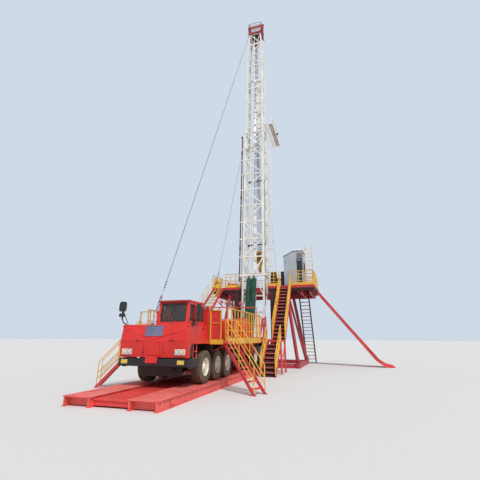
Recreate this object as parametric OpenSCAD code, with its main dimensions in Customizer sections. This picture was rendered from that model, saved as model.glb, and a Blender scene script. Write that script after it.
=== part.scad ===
// Truck-mounted workover rig: carrier, two-section telescoping mast and raised drill floor.
// Origin: the well centre on the ground. +X is the truck's left, +Y its rear, +Z up.

/* [Carrier] */
// Distance from the well centre to the front panel
front_reach = 16680; // [16000:17500]
// Half the width of the carrier body
body_half = 1450; // [1400:1500]
// Height of the top of the base mat
mat_z = 300; // [200:400]
// Height of the deck surface
deck_z = 1930; // [1900:2000]
// Height of the nose's top surface
nose_top = 2490; // [2400:2550]
// Height of the cab roof
cab_top = 3390; // [3300:3400]
// Length of the cab
cab_len = 1480; // [1400:1700]
// Wall thickness of the cab
cab_wall = 50; // [40:60]

/* [Wheels] */
// Radius of a tyre
tyre_r = 615; // [580:640]
// Width of a tyre
tyre_w = 400; // [360:420]
// Half the distance between the wheels of an axle
track_half = 1200; // [1180:1220]
// Clearance under the lifted tyres
tyre_gap = 5; // [5:20]

/* [Mast] */
// Height of the mast's foot pins
hinge_z = 3450; // [3430:3500]
// Backward lean of the mast in degrees
lean = 3.5; // [3:0.1:4]
// Half the width of the lower section
low_half = 945; // [935:960]
// Depth of the lower section
low_depth = 1250; // [1200:1300]
// Length of the lower section
low_len = 17600; // [17400:17800]
// Half the width of the upper section
up_half = 866; // [850:867]
// Length of the upper section
up_len = 16200; // [16000:16400]
// Size of a leg tube
leg = 150; // [140:160]
// Size of a brace tube
brace = 60; // [50:80]

/* [Drill floor] */
// Height of the floor surface
floor_z = 5920; // [5800:6000]
// Right edge of the floor
floor_x0 = -3690; // [-3800:-3600]
// Left edge of the floor
floor_x1 = 4770; // [4700:4900]
// Front edge of the floor
floor_y0 = -1940; // [-2000:-1900]
// Rear edge of the floor
floor_y1 = 2020; // [1950:2100]
// Depth of the floor's edge beams
floor_t = 280; // [240:320]
// Radius of the rotary table's bore
rotary_r = 260.35; // [200:0.05:300]
// Height of a handrail
rail_h = 1100; // [1000:1200]
// Height of the side platforms' rails
side_rail_h = 1330; // [1250:1350]
// Size of a handrail tube
rail_t = 56; // [50:64]

/* [Hidden] */

// Shared places
front_y = -front_reach;
hinge_y = -2480;
wheel_z = mat_z + tyre_r + tyre_gap;
axle_y = [-14800, -13450, -12150, -7000, -5650, -4300];
steered = 3;
rail_x = 430;
chassis_z0 = 1000;
chassis_z1 = 1480;
deck_t = 140;
cab_y0 = front_y + 180;
cab_y1 = cab_y0 + cab_len;
cab_x0 = 20;
cab_x1 = 1300;
up_base = 15300;
panel = 1590;
tie_w = 3397;
row_w = tie_w + 1523;
pin_low = [-3600, 2100];
pin_up_v = -350;
pin_up_w = 3100;
pin_up = [hinge_y + pin_up_v * cos(lean) + pin_up_w * sin(lean),
    hinge_z - pin_up_v * sin(lean) + pin_up_w * cos(lean)];

// A point of the mast's own frame, in the rig's frame
function mast_point(x, v, w) =
    [x, hinge_y + v * cos(lean) + w * sin(lean), hinge_z - v * sin(lean) + w * cos(lean)];

// A square tube from point a to point b
module beam(a, b, w, d) {
    v = b - a;
    l = norm(v);
    translate(a)
        rotate([0, acos(v[2] / l), atan2(v[1], v[0])])
            translate([-d / 2, -w / 2, 0])
                cube([d, w, l]);
}

// A round bar from point a to point b
module rod(a, b, r) {
    v = b - a;
    l = norm(v);
    translate(a)
        rotate([0, acos(v[2] / l), atan2(v[1], v[0])])
            cylinder(h = l, r = r, $fn = 24);
}

// A block between two corners
module block(a, b) {
    translate(a)
        cube(b - a);
}

// A straight handrail: posts, top rail, knee rail and toe board
module handrail(a, b, posts = 4, toe = true, high = rail_h) {
    up = [0, 0, high];
    for (i = [0:posts - 1]) {
        p = a + (b - a) * i / (posts - 1);
        beam(p, p + up, rail_t, rail_t);
    }
    beam(a + up, b + up, rail_t, rail_t);
    beam(a + up * 0.55, b + up * 0.55, rail_t * 0.8, rail_t * 0.8);
    if (toe)
        beam(a + [0, 0, 75], b + [0, 0, 75], 8, 140);
}

// Hinge halves: the fixed half has two lugs and a pin, the leaf's half a bored barrel
hinge_h = 60;
hinge_pin = 6;
hinge_barrel = 13;
module hinge_fixed(axis, wall_x) {
    for (z = [-hinge_h / 2 - 17, hinge_h / 2 + 5])
        translate([0, 0, z]) {
            block([wall_x, axis[1] - 45, axis[2]], [axis[0] + 4, axis[1] - 6, axis[2] + 12]);
            translate(axis)
                cylinder(h = 12, r = hinge_barrel - 2, $fn = 32);
        }
    translate(axis)
        cylinder(h = hinge_h + 20, r = hinge_pin, center = true, $fn = 32);
}
module hinge_leaf(axis, face_x) {
    difference() {
        union() {
            translate(axis)
                cylinder(h = hinge_h, r = hinge_barrel, center = true, $fn = 32);
            block([face_x - 2, axis[1] + 2, axis[2] - hinge_h / 2 + 2], [axis[0] - hinge_barrel + 8, axis[1] + 60, axis[2] + hinge_h / 2 - 2]);
        }
        translate(axis)
            cylinder(h = hinge_h + 2, r = hinge_pin + run_gap, center = true, $fn = 32);
    }
}

// A flight of steps from the foot to the head, with plumb-cut stringers and open treads
string_w = 240;
string_t = 50;
module flight(foot, head, width, treads, depth = string_w, plate = string_t) {
    d = head - foot;
    run = norm([d[0], d[1]]);
    rise = d[2];
    drop = depth * rise / run;
    translate(foot)
        rotate([0, 0, atan2(d[1], d[0])]) {
            for (s = [-1, 1])
                translate([0, s * width / 2 + plate / 2, 0])
                    rotate([90, 0, 0])
                        linear_extrude(height = plate)
                            polygon([[0, 0], [depth, 0], [run, rise - drop], [run, rise]]);
            for (i = [1:treads - 1])
                translate([i * run / treads + 4, -width / 2, i * rise / treads - 40])
                    cube([depth - 20, width, 35]);
        }
}

// The pair of handrails of a flight
module flight_rails(foot, head, width, posts) {
    up = [0, 0, 950];
    d = head - foot;
    side = [-d[1], d[0], 0] / norm([d[0], d[1]]);
    for (s = [-1, 1]) {
        a = foot + side * s * width / 2 + d * 0.06;
        b = foot + side * s * width / 2 + d * 0.97;
        for (i = [0:posts - 1]) {
            p = a + (b - a) * i / (posts - 1);
            beam(p - [0, 0, 60], p + up, rail_t, rail_t);
        }
        for (k = [0.5, 0.98])
            beam(a + up * k, b + up * k, rail_t - 8, rail_t - 8);
    }
}

// Places its children in the mast's own frame: X across, Y to the rear, Z along the mast
module on_mast() {
    translate([0, hinge_y, hinge_z])
        rotate([-lean, 0, 0])
            children();
}

// Base mat under the carrier
mat_y0 = -18900;
mat_y1 = -2700;
mat_seam = 650;
mat_half = 1700;
module base_mat() {
    color([0.75, 0.16, 0.15]) {
        for (s = [-1, 1]) {
            block([s * (mat_seam + mat_half) / 2 - (mat_half - mat_seam) / 2 + 5, mat_y0, mat_z - 60],
                [s * (mat_seam + mat_half) / 2 + (mat_half - mat_seam) / 2 - 5, mat_y1, mat_z]);
            for (x = [mat_seam + 70, mat_half - 70])
                block([s * x - 65, mat_y0, 0], [s * x + 65, mat_y1, mat_z - 60]);
        }
        block([-mat_seam - 5, mat_y0 + 150, mat_z - 110], [mat_seam + 5, mat_y1, mat_z - 40]);
        for (i = [0:12])
            block([-mat_half + 10, mat_y0 + 200 + i * 1290, 40], [mat_half - 10, mat_y0 + 320 + i * 1290, mat_z - 60]);
    }
}

// Frame rails, cross members, outriggers and levelling jacks
jack_y = [-10200, -8600, -3100];
jack_x = 1560;
deck_posts = [[-15200, 650], [-14125, 1370], [-12800, 1370], [-11300, 1370], [-9600, 1370], [-7800, 1370],
    [-6320, 1370], [-3500, 1370]];
module chassis() {
    color([0.1, 0.1, 0.11]) {
        for (s = [-1, 1])
            block([s * rail_x - 60, front_y + 420, chassis_z0], [s * rail_x + 60, hinge_y + 320, chassis_z1]);
        for (y = [-16150, -14125, -12800, -9600, -6320, -4975, -2900])
            block([-rail_x, y - 70, chassis_z0 + 60], [rail_x, y + 70, chassis_z1 - 60]);
        for (y = jack_y)
            block([-jack_x, y - 88, chassis_z0 + 120], [jack_x, y + 88, chassis_z1 - 100]);
        for (y = jack_y, s = [-1, 1])
            translate([s * jack_x, y, mat_z]) {
                cylinder(h = 900, r = 60, $fn = 32);
                translate([0, 0, chassis_z0 - 100 - mat_z])
                    cylinder(h = 700, r = 95, $fn = 32);
                cylinder(h = 60, r = 135, $fn = 32);
            }
        // Deck supports
        for (p = deck_posts, s = [-1, 1])
            block([s * (rail_x + p[1]) / 2 - (p[1] - rail_x) / 2, p[0] - 60, chassis_z1 - 20],
                [s * (rail_x + p[1]) / 2 + (p[1] - rail_x) / 2, p[0] + 60, deck_z - deck_t]);
    }
}

// Front bumper with its wrap-round beam
bumper_z0 = 1010;
bumper_z1 = 1290;
module bumper() {
    color([0.05, 0.05, 0.05]) {
        block([-body_half, front_y + 60, bumper_z0], [body_half, front_y + 300, bumper_z1]);
        for (s = [-1, 1]) {
            block([s * (body_half - 65) - 60, front_y + 290, bumper_z0 + 20],
                [s * (body_half - 65) + 60, front_y + 1060, bumper_z0 + 190]);
            block([s * rail_x - 60, front_y + 290, bumper_z0 + 20], [s * rail_x + 60, front_y + 420, bumper_z1 - 20]);
        }
    }
}

// Nose with its creased fascia
lamp_x = 1120;
lamp_half = 215;
lamp_z = [1400, 1620];
nose_z0 = 1320;
module nose() {
    color([0.8, 0.08, 0.07]) {
        difference() {
            translate([-body_half, 0, 0])
                rotate([90, 0, 90])
                    linear_extrude(height = 2 * body_half)
                        polygon([[front_y + 90, nose_z0], [front_y, 1850], [front_y + 110, nose_top - 60],
                            [front_y + 190, nose_top], [cab_y1, nose_top], [cab_y1, deck_z - deck_t],
                            [front_y + 1100, deck_z - deck_t], [front_y + 960, nose_z0]]);
            // Room for the cab
            block([cab_x0 - 5, cab_y0 - 5, 2200], [body_half + 1, cab_y1 + 1, nose_top + 1]);
            // Room for the frame rails and the lamps
            block([-600, front_y + 300, nose_z0 - 1], [600, cab_y1 - 100, chassis_z1]);
            for (s = [-1, 1])
                block([s * lamp_x - lamp_half - 2, front_y - 1, lamp_z[0] - 2], [s * lamp_x + lamp_half + 2, front_y + 120, lamp_z[1] + 2]);
        }
        // Towing tongue
        block([-200, front_y + 20, 1150], [200, front_y + 59.7, 1540]);
    }
}

// Half cab at the front left, hollow, with its windows and doorway cut
door_y0 = cab_y0 + 560;
door_y1 = cab_y1 - 60;
door_z0 = 2010;
door_z1 = cab_top - 110;
sill_z = 2560;
module cab_shell() {
    polygon([[cab_y0, 2200], [cab_y0, 2540], [cab_y0 + 90, cab_top - 40], [cab_y0 + 140, cab_top],
        [cab_y1, cab_top], [cab_y1, 2200]]);
}
door_lap = 35;
door_foot = 2360;
door_axis = [cab_x1 + 59, door_y0];
door_hinge_z = [2660, 3160];
module cab() {
    color([0.8, 0.08, 0.07]) {
        for (z = door_hinge_z)
            hinge_fixed([door_axis[0], door_axis[1], z], cab_x1 - 1);
        difference() {
            union() {
                translate([cab_x0, 0, 0])
                    rotate([90, 0, 90])
                        linear_extrude(height = cab_x1 - cab_x0)
                            cab_shell();
                // Flank below the window line, out to the body's side
                block([cab_x1 - cab_wall, cab_y0 + 4, 2200], [body_half, cab_y1 - 4, sill_z - 60]);
                // Roof visor
                block([cab_x0 - 20, cab_y0 + 20, cab_top - 60], [cab_x1 + 20, cab_y0 + 220, cab_top - 5]);
            }
            // Cabin space
            translate([cab_x0 + cab_wall, 0, 0])
                rotate([90, 0, 90])
                    linear_extrude(height = cab_x1 - cab_x0 - 2 * cab_wall)
                        polygon([[cab_y0 + cab_wall, 2260], [cab_y0 + cab_wall, 2540],
                            [cab_y0 + 90 + cab_wall, cab_top - 90], [cab_y1 - cab_wall, cab_top - 90],
                            [cab_y1 - cab_wall, 2260]]);
            // Windscreen
            block([cab_x0 + 130, cab_y0 - 10, sill_z + 50], [cab_x1 - 110, cab_y0 + 180, cab_top - 130]);
            // Right window
            block([cab_x0 - 10, cab_y0 + 300, sill_z + 100], [cab_x0 + cab_wall + 10, cab_y1 - 250, cab_top - 200]);
            // Quarter window and rear window
            block([cab_x1 - cab_wall - 10, cab_y0 + 200, sill_z + 80], [cab_x1 + 10, door_y0 - 70, cab_top - 160]);
            block([cab_x0 + 300, cab_y1 - cab_wall - 10, sill_z + 150], [cab_x1 - 300, cab_y1 + 10, cab_top - 200]);
            // Doorway, and room for the door in the flank
            block([cab_x1 - cab_wall - 10, door_y0 + door_lap, door_foot + door_lap],
                [cab_x1 + 10, door_y1 - door_lap, door_z1 - door_lap]);
            block([cab_x1, door_y0 - 5, door_foot - 5], [body_half + 10, door_y1 + 5, door_z1 + 5]);
        }
    }
}

// Seat, steering column and wheel
module cab_seat() {
    color([0.12, 0.12, 0.13]) {
        block([450, cab_y0 + 700, 2260], [850, cab_y0 + 1050, 2430]);
        block([400, cab_y0 + 620, 2420], [900, cab_y0 + 1120, 2540]);
        block([410, cab_y0 + 1030, 2530], [890, cab_y0 + 1130, 3050]);
        // Steering column and wheel
        block([590, cab_y0 + 200, 2260], [710, cab_y0 + 330, 2320]);
        rod([650, cab_y0 + 270, 2290], [650, cab_y0 + 425, 2780], 35);
        translate([650, cab_y0 + 425, 2775])
            rotate([-18, 0, 0])
                rotate_extrude($fn = 36)
                    translate([190, 0])
                        circle(r = 16, $fn = 16);
        beam([462, cab_y0 + 425, 2775], [838, cab_y0 + 425, 2775], 30, 20);
    }
}

// Window panes of the cab and of the doghouse
pane_gap = 0.3;
module glazing() {
    x = (cab_x0 + cab_x1) / 2 + 10;
    color([0.3, 0.35, 0.36, 0.5]) {
        beam([x, cab_y0 + 34, sill_z + 53], [x, cab_y0 + 103, cab_top - 133],
            cab_x1 - cab_x0 - 240 - 2 * pane_gap, 8);
        block([cab_x0 + 20, cab_y0 + 300 + pane_gap, sill_z + 102], [cab_x0 + 28, cab_y1 - 250 - pane_gap, cab_top - 202]);
        block([cab_x1 - 28, cab_y0 + 200 + pane_gap, sill_z + 82], [cab_x1 - 20, door_y0 - 70 - pane_gap, cab_top - 162]);
        block([cab_x0 + 300 + pane_gap, cab_y1 - 30, sill_z + 152], [cab_x1 - 300 - pane_gap, cab_y1 - 22, cab_top - 202]);
        // Doghouse window
        block([dog_x1 - 30, dog_win[0] + pane_gap, floor_z + dog_win[2] + 2], [dog_x1 - 22, dog_win[1] - pane_gap, floor_z + dog_win[3] - 2]);
    }
}

// Rear-view mirrors on their arms
module mirrors() {
    color([0.05, 0.05, 0.05]) {
        block([-1440, front_y + 230, nose_top], [-1370, front_y + 310, nose_top + 50]);
        beam([-1405, front_y + 270, nose_top + 30], [-1560, front_y - 60, 2860], 32, 32);
        block([-1585, front_y - 85, 2835], [-1535, front_y - 35, 3020]);
        block([-1650, front_y - 90, 3000], [-1470, front_y - 30, 3420]);
        block([1350, cab_y0 + 60, 2500], [1420, cab_y0 + 140, 2550]);
        beam([1385, cab_y0 + 100, 2530], [1480, cab_y0 - 60, 2700], 28, 28);
        block([1460, cab_y0 - 82, 2680], [1500, cab_y0 - 38, 2750]);
        block([1390, cab_y0 - 90, 2720], [1570, cab_y0 - 30, 3120]);
    }
}

// Headlamps and fog lamps
module lamps() {
    color([0.9, 0.9, 0.85])
        for (s = [-1, 1]) {
            block([s * lamp_x - lamp_half, front_y + 24, lamp_z[0]], [s * lamp_x + lamp_half, front_y + 120, lamp_z[1]]);
            block([s * 1180 - 80, front_y + 30, 1120], [s * 1180 + 80, front_y + 60, 1230]);
        }
}

// Axle beams and springs
king_x = track_half - 330;
king_r = 30;
fork_z = 118;
module axles() {
    color([0.12, 0.1, 0.09])
        for (i = [0:5]) {
            y = axle_y[i];
            reach = i < steered ? king_x - 100 : track_half + 140;
            translate([-reach, y, wheel_z])
                rotate([0, 90, 0])
                    cylinder(h = 2 * reach, r = 75, $fn = 32);
            if (i >= steered)
                translate([-190, y, wheel_z])
                    rotate([0, 90, 0])
                        cylinder(h = 380, r = 230, $fn = 48);
            for (s = [-1, 1]) {
                block([s * rail_x - 45, y - 600, chassis_z0 - 85], [s * rail_x + 45, y + 600, chassis_z0]);
                if (i < steered) {
                    // Fork with its kingpin
                    block([s * (king_x - 115) - 25, y - 55, wheel_z - fork_z - 32], [s * (king_x - 115) + 25, y + 55, wheel_z + fork_z + 32]);
                    for (k = [-1, 1])
                        block([s * (king_x - 35) - 100, y - 50, wheel_z + k * (fork_z + 15) - 14], [s * (king_x - 35) + 100, y + 50, wheel_z + k * (fork_z + 15) + 14]);
                    translate([s * king_x, y, wheel_z - fork_z - 15])
                        cylinder(h = 2 * fork_z + 30, r = king_r, $fn = 32);
                }
            }
        }
}

// Steering knuckle with its stub axle
run_gap = 0.05;
module knuckle(i, s) {
    color([0.15, 0.13, 0.12])
        translate([s * king_x, axle_y[i], wheel_z])
            difference() {
                union() {
                    cylinder(h = 200, r = 58, center = true, $fn = 48);
                    rotate([0, s * 90, 0]) {
                        cylinder(h = track_half + 140 - king_x, r = 40, $fn = 32);
                        translate([0, 0, 100])
                            cylinder(h = 40, r = 130, $fn = 32);
                    }
                }
                cylinder(h = 220, r = king_r + run_gap, center = true, $fn = 48);
            }
}

// Wheel: tyre, rim, disc and hub in one turned solid
module wheel(i, s) {
    r = tyre_r;
    h = tyre_w / 2;
    bore = (i < steered ? 40 : 75) + run_gap;
    color([0.18, 0.16, 0.14])
        translate([s * track_half, axle_y[i], wheel_z])
            rotate([0, s * 90, 0])
                rotate_extrude($fn = 96)
                    polygon([[bore, -60], [150, -60], [150, 60], [300, 90], [300, -h + 25], [330, -h], [r - 90, -h],
                        [r - 25, -h + 35], [r, -h + 80], [r, h - 80], [r - 25, h - 35], [r - 90, h], [330, h],
                        [300, h - 25], [300, 130], [150, 105], [150, 150], [bore, 150]]);
}

// Deck plate and side platforms, with the far side's landing
far_x1 = 3640;
plat_x = 2050;
plat_y0 = -14600;
plat_y1 = -8200;
far_plat_y1 = -6900;
module deck() {
    color([0.78, 0.1, 0.08]) {
        block([-body_half, cab_y1, deck_z - deck_t], [body_half, hinge_y + 320, deck_z]);
        block([body_half - 5, plat_y0, deck_z - 185], [plat_x, plat_y1, deck_z - 2]);
        block([-plat_x, plat_y0, deck_z - 185], [5 - body_half, far_plat_y1, deck_z - 2]);
        block([-far_x1, far_plat_y1 - 1200, deck_z - 183], [5 - plat_x, far_plat_y1 - 5, deck_z - 4]);
    }
}

// Power pack housings and the tool lockers behind the cab
module power_pack() {
    color([0.75, 0.1, 0.09]) {
        difference() {
            block([-1100, cab_y1 + 300, deck_z], [1300, -13200, 3150]);
            block([-1000, cab_y1 + 500, deck_z + 100], [1200, -13300, 3050]);
            for (s = [-1, 1])
                block([s * 1200 - 200, cab_y1 + 700, deck_z + 200], [s * 1200 + 200, -13500, 2950]);
        }
        block([-1100, -12900, deck_z], [-500, -10900, 2900]);
        block([-900, -10600, deck_z], [900, -9300, 2600]);
    }
}
module engine_block() {
    color([0.35, 0.34, 0.33])
        block([-450, cab_y1 + 700, deck_z + 100], [650, -13400, 2800]);
}

// Drawworks under its rounded guard
drum_y = -7900;
guard_r = 430;
module drawworks() {
    color([0.85, 0.2, 0.1]) {
        for (s = [-1, 1]) {
            block([s * 1050 - 150, drum_y - 900, deck_z], [s * 1050 + 150, drum_y + 1100, 2700]);
            translate([s * 1050 - 145, drum_y, 2690])
                rotate([0, 90, 0])
                    cylinder(h = 290, r = guard_r, $fn = 64);
        }
        translate([-910, drum_y, 2550])
            rotate([0, 90, 0])
                cylinder(h = 1820, r = 280, $fn = 64);
    }
}

// Yellow rails along the side platforms and the closed ends
module deck_rails() {
    x = plat_x - rail_in;
    color([0.9, 0.7, 0.1]) {
        handrail([x, -13950, deck_z - 2], [x, plat_y1 - rail_in, deck_z - 2], 11, true, side_rail_h);
        handrail([-x, -13950, deck_z - 2], [-x, far_plat_y1 - 1225, deck_z - 2], 11, true, side_rail_h);
        for (s = [-1, 1])
            handrail([s * (body_half + rail_t), plat_y0 + rail_in, deck_z - 2], [s * x, plat_y0 + rail_in, deck_z - 2], 2, true, side_rail_h);
        handrail([-far_x1 + rail_in, far_plat_y1 - 1200 + rail_in, deck_z - 4], [-far_x1 + rail_in, far_plat_y1 - 330, deck_z - 4], 2);
        handrail([-far_x1 + rail_in + rail_t, far_plat_y1 - 1200 + rail_in, deck_z - 4], [-x - rail_t - 10, far_plat_y1 - 1200 + rail_in, deck_z - 4], 3);
    }
}

// Stairs from the ground to the side platforms
module access_stairs() {
    for (s = [-1, 1]) {
        foot = [s * 3720, -14900, 0];
        head = [s * (plat_x + 150), -14170, deck_z - 60];
        color([0.75, 0.12, 0.1]) {
            flight(foot, head, 640, 8, 165);
            block([s * (plat_x + 90) - 90, head[1] - 380, deck_z - 150], [s * (plat_x + 90) + 90, head[1] + 380, deck_z - 70]);
        }
        color([0.9, 0.7, 0.1])
            flight_rails(foot, head, 640, 3);
    }
}

// Rear frame that carries the mast's foot pins
pin_r = 40;
lug = 110;
foot_in = low_half - leg - 8;
foot_out = low_half + 8;
module mast_base() {
    color([0.7, 0.1, 0.1]) {
        for (s = [-1, 1], x0 = [foot_in - 60, foot_out]) {
            x = s * (x0 + 30);
            // Side plate of an A-frame
            translate([x - 30, 0, 0])
                rotate([90, 0, 90])
                    linear_extrude(height = 60)
                        difference() {
                            polygon([[hinge_y - 1100, deck_z], [hinge_y - 800, deck_z], [hinge_y - 120, hinge_z - 500],
                                [hinge_y + 90, hinge_z - 500], [hinge_y + 120, deck_z], [hinge_y + 310, deck_z],
                                [hinge_y + 150, hinge_z + 60], [hinge_y + 60, hinge_z + 130], [hinge_y - 60, hinge_z + 130],
                                [hinge_y - 150, hinge_z + 60]]);
                        }
        }
        for (s = [-1, 1]) {
            translate([s * (foot_in + foot_out) / 2, hinge_y, hinge_z])
                rotate([0, 90, 0])
                    cylinder(h = foot_out - foot_in + 90, r = pin_r, center = true, $fn = 48);
            block([s * (foot_in + foot_out) / 2 - 105, hinge_y + 150, deck_z + 0.5], [s * (foot_in + foot_out) / 2 + 105, hinge_y + 250, deck_z + 150]);
        }
        block([-foot_in + 30, hinge_y + 160, deck_z + 10], [foot_in - 30, hinge_y + 240, deck_z + 140]);
        // Brackets that carry the raising cylinders' lower pins
        for (x = raise_x, k = [-1, 1])
            translate([x + k * (eye_w / 2 + 20) - 15, 0, 0])
                rotate([90, 0, 90])
                    linear_extrude(height = 30)
                        polygon([[pin_low[0] - 200, deck_z], [pin_low[0] - 70, pin_low[1] + 70], [pin_low[0] + 70, pin_low[1] + 70],
                            [pin_low[0] + 200, deck_z]]);
        for (x = raise_x)
            translate([x, pin_low[0], pin_low[1]])
                rotate([0, 90, 0])
                    cylinder(h = eye_w + 60, r = pin_r - 5, center = true, $fn = 48);
    }
}

// Lower section's lattice, in the mast's own frame
board_w = low_len + 750;
board_x = low_half + 60;
bays = floor((low_len - row_w - 3000) / panel);
collar_w = row_w + bays * panel + 1240;
ladder_top = collar_w + 450;
rungs = floor((ladder_top - tie_w - 650) / 310);
module mast_lower() {
    w1 = low_len;
    color([0.92, 0.92, 0.9])
        on_mast()
            difference() {
                union() {
                    for (s = [-1, 1]) {
                        x = s * (low_half - leg / 2);
                        block([x - leg / 2, 0, 0], [x + leg / 2, leg, w1]);
                        block([x - leg / 2, low_depth - leg, tie_w - 1500], [x + leg / 2, low_depth, w1]);
                        beam([s * (low_half - 38), 60, tie_w - 2600], [s * (low_half - 38), low_depth - 60, tie_w - 1450], 66, leg - 20);
                        translate([x - leg / 2 + 0.5, 0, 0])
                            rotate([0, 90, 0])
                                cylinder(h = leg - 1, r = lug, $fn = 48);
                        for (i = [0:bays])
                            block([s * (low_half - 38) - 32, 5, row_w + i * panel - 38], [s * (low_half - 38) + 32, low_depth - 5, row_w + i * panel + 38]);
                        for (w = [tie_w, collar_w])
                            block([s * (low_half - 38) - 32, 5, w - 38], [s * (low_half - 38) + 32, low_depth - 5, w + 38]);
                        for (i = [0:bays - 1]) {
                            w = row_w + i * panel;
                            v0 = i % 2 == 0 ? 62 : low_depth - 62;
                            beam([s * (low_half - 42), v0, w], [s * (low_half - 42), low_depth - v0, w + panel], brace - 10, brace);
                        }
                        for (k = [[tie_w, row_w], [row_w + bays * panel, collar_w], [collar_w, w1 - 300]])
                            beam([s * (low_half - 42), low_depth - 62, k[0]], [s * (low_half - 42), 62, k[1]], brace - 10, brace);
                        // Ties below the beam and at the head
                        for (w = [480, 1700, w1 - 300])
                            block([s * (low_half - 38) - 30, 5, w - 36], [s * (low_half - 38) + 30, w > 1000 ? low_depth - 5 : 425, w + 36]);
                    }
                    for (i = [0:bays])
                        block([8 - low_half, 5, row_w + i * panel - 48], [low_half - 8, 105, row_w + i * panel + 48]);
                    block([8 - low_half, 5, collar_w - 48], [low_half - 8, 105, collar_w + 48]);
                    for (i = [0:bays - 1]) {
                        w = row_w + i * panel;
                        d = i % 2 == 0 ? 1 : -1;
                        beam([-d * (low_half - 70), 55, w], [d * (low_half - 70), 55, w + panel], brace, brace);
                    }
                    // The first bay's V, the bay below the collar and the head's cross
                    for (s = [-1, 1]) {
                        beam([0, 55, tie_w + 60], [s * (low_half - 70), 55, row_w], brace, brace);
                        beam([s * (low_half - 70), 55, row_w + bays * panel], [0, 55, collar_w], brace, brace);
                    }
                    block([3 - brace / 2, 58 - brace / 2, row_w + bays * panel], [brace / 2 - 3, 52 + brace / 2, collar_w]);
                    for (w = [450, 1700])
                        block([8 - low_half, 5, w - 50], [low_half - 8, 105, w + 50]);
                    // Seat of the telescoping cylinder
                    block([-low_half + 20, 300, 400], [low_half - 20, 420, 500]);
                    // Head collar and the beam over the foot
                    block([4 - low_half, 3, w1 - 200], [low_half - 4, 112, w1 - 3]);
                    for (s = [-1, 1])
                        beam([s * (low_half - 75), 55, collar_w], [-s * (low_half - 75), 55, w1 - 150], brace, brace);
                    block([-low_half - 180, 3, tie_w - 110], [low_half + 180, 135, tie_w + 110]);
                    // Posts and pin of the racking board
                    for (v = [60, low_depth - 70]) {
                        block([low_half - 145, v - 55, w1 - 20], [low_half - 5, v + 55, board_w + 60]);
                        block([low_half - 20, v - 35, board_w - 45], [board_x + 45, v + 35, board_w + 45]);
                    }
                    translate([board_x, 30, board_w])
                        rotate([-90, 0, 0])
                            cylinder(h = low_depth - 90, r = 20, $fn = 48);
                    // Brackets of the raising cylinders' upper pins
                    for (x = raise_x, k = [-1, 1])
                        block([x + k * (eye_w / 2 + 20) - 15, pin_up_v - 90, pin_up_w - 90], [x + k * (eye_w / 2 + 20) + 15, 60, tie_w - 30]);
                    for (x = raise_x)
                        translate([x, pin_up_v, pin_up_w])
                            rotate([0, 90, 0])
                                cylinder(h = eye_w + 60, r = pin_r - 5, center = true, $fn = 48);
                    // Ladder up the right rear leg
                    for (x = [low_half + 60, low_half + 400])
                        block([x - 20, low_depth - 80, tie_w + 400], [x + 20, low_depth - 40, ladder_top]);
                    for (i = [0:rungs])
                        block([low_half + 65, low_depth - 70, tie_w + 600 + i * 310], [low_half + 395, low_depth - 50, tie_w + 620 + i * 310]);
                    for (i = [0:4])
                        block([low_half - 20, low_depth - 76, tie_w + 880 + i * 2700], [low_half + 396, low_depth - 44, tie_w + 940 + i * 2700]);
                }
                // Bores of the foot pins
                for (s = [-1, 1])
                    translate([s * (low_half - leg / 2) - leg, 0, 0])
                        rotate([0, 90, 0])
                            cylinder(h = 2 * leg, r = pin_r + run_gap, $fn = 48);
            }
}

module standpipe() {
    color([0.45, 0.08, 0.08])
        on_mast() {
            translate([-low_half - 245, 70, tie_w - 497])
                cylinder(h = collar_w + 1300 - tie_w + 497, r = 55, $fn = 24);
            for (i = [0:bays])
                block([-low_half - 245, 45, row_w + i * panel - 30], [-low_half, 95, row_w + i * panel + 30]);
        }
}

// Telescoping cylinder in the middle of the mast
barrel_top = 9900;
ram_v = 360;
ram_head = 24400;
module lift_barrel() {
    color([0.8, 0.8, 0.78])
        on_mast() {
            translate([0, ram_v, 500])
                cylinder(h = barrel_top - 500, r = 100, $fn = 32);
            translate([0, ram_v, barrel_top - 120])
                cylinder(h = 119.7, r = 118, $fn = 32);
        }
}
module lift_ram() {
    color([0.75, 0.75, 0.76])
        on_mast()
            translate([0, ram_v, barrel_top + 0.3])
                cylinder(h = ram_head - barrel_top - 0.6, r = 75, $fn = 32);
}

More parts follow.
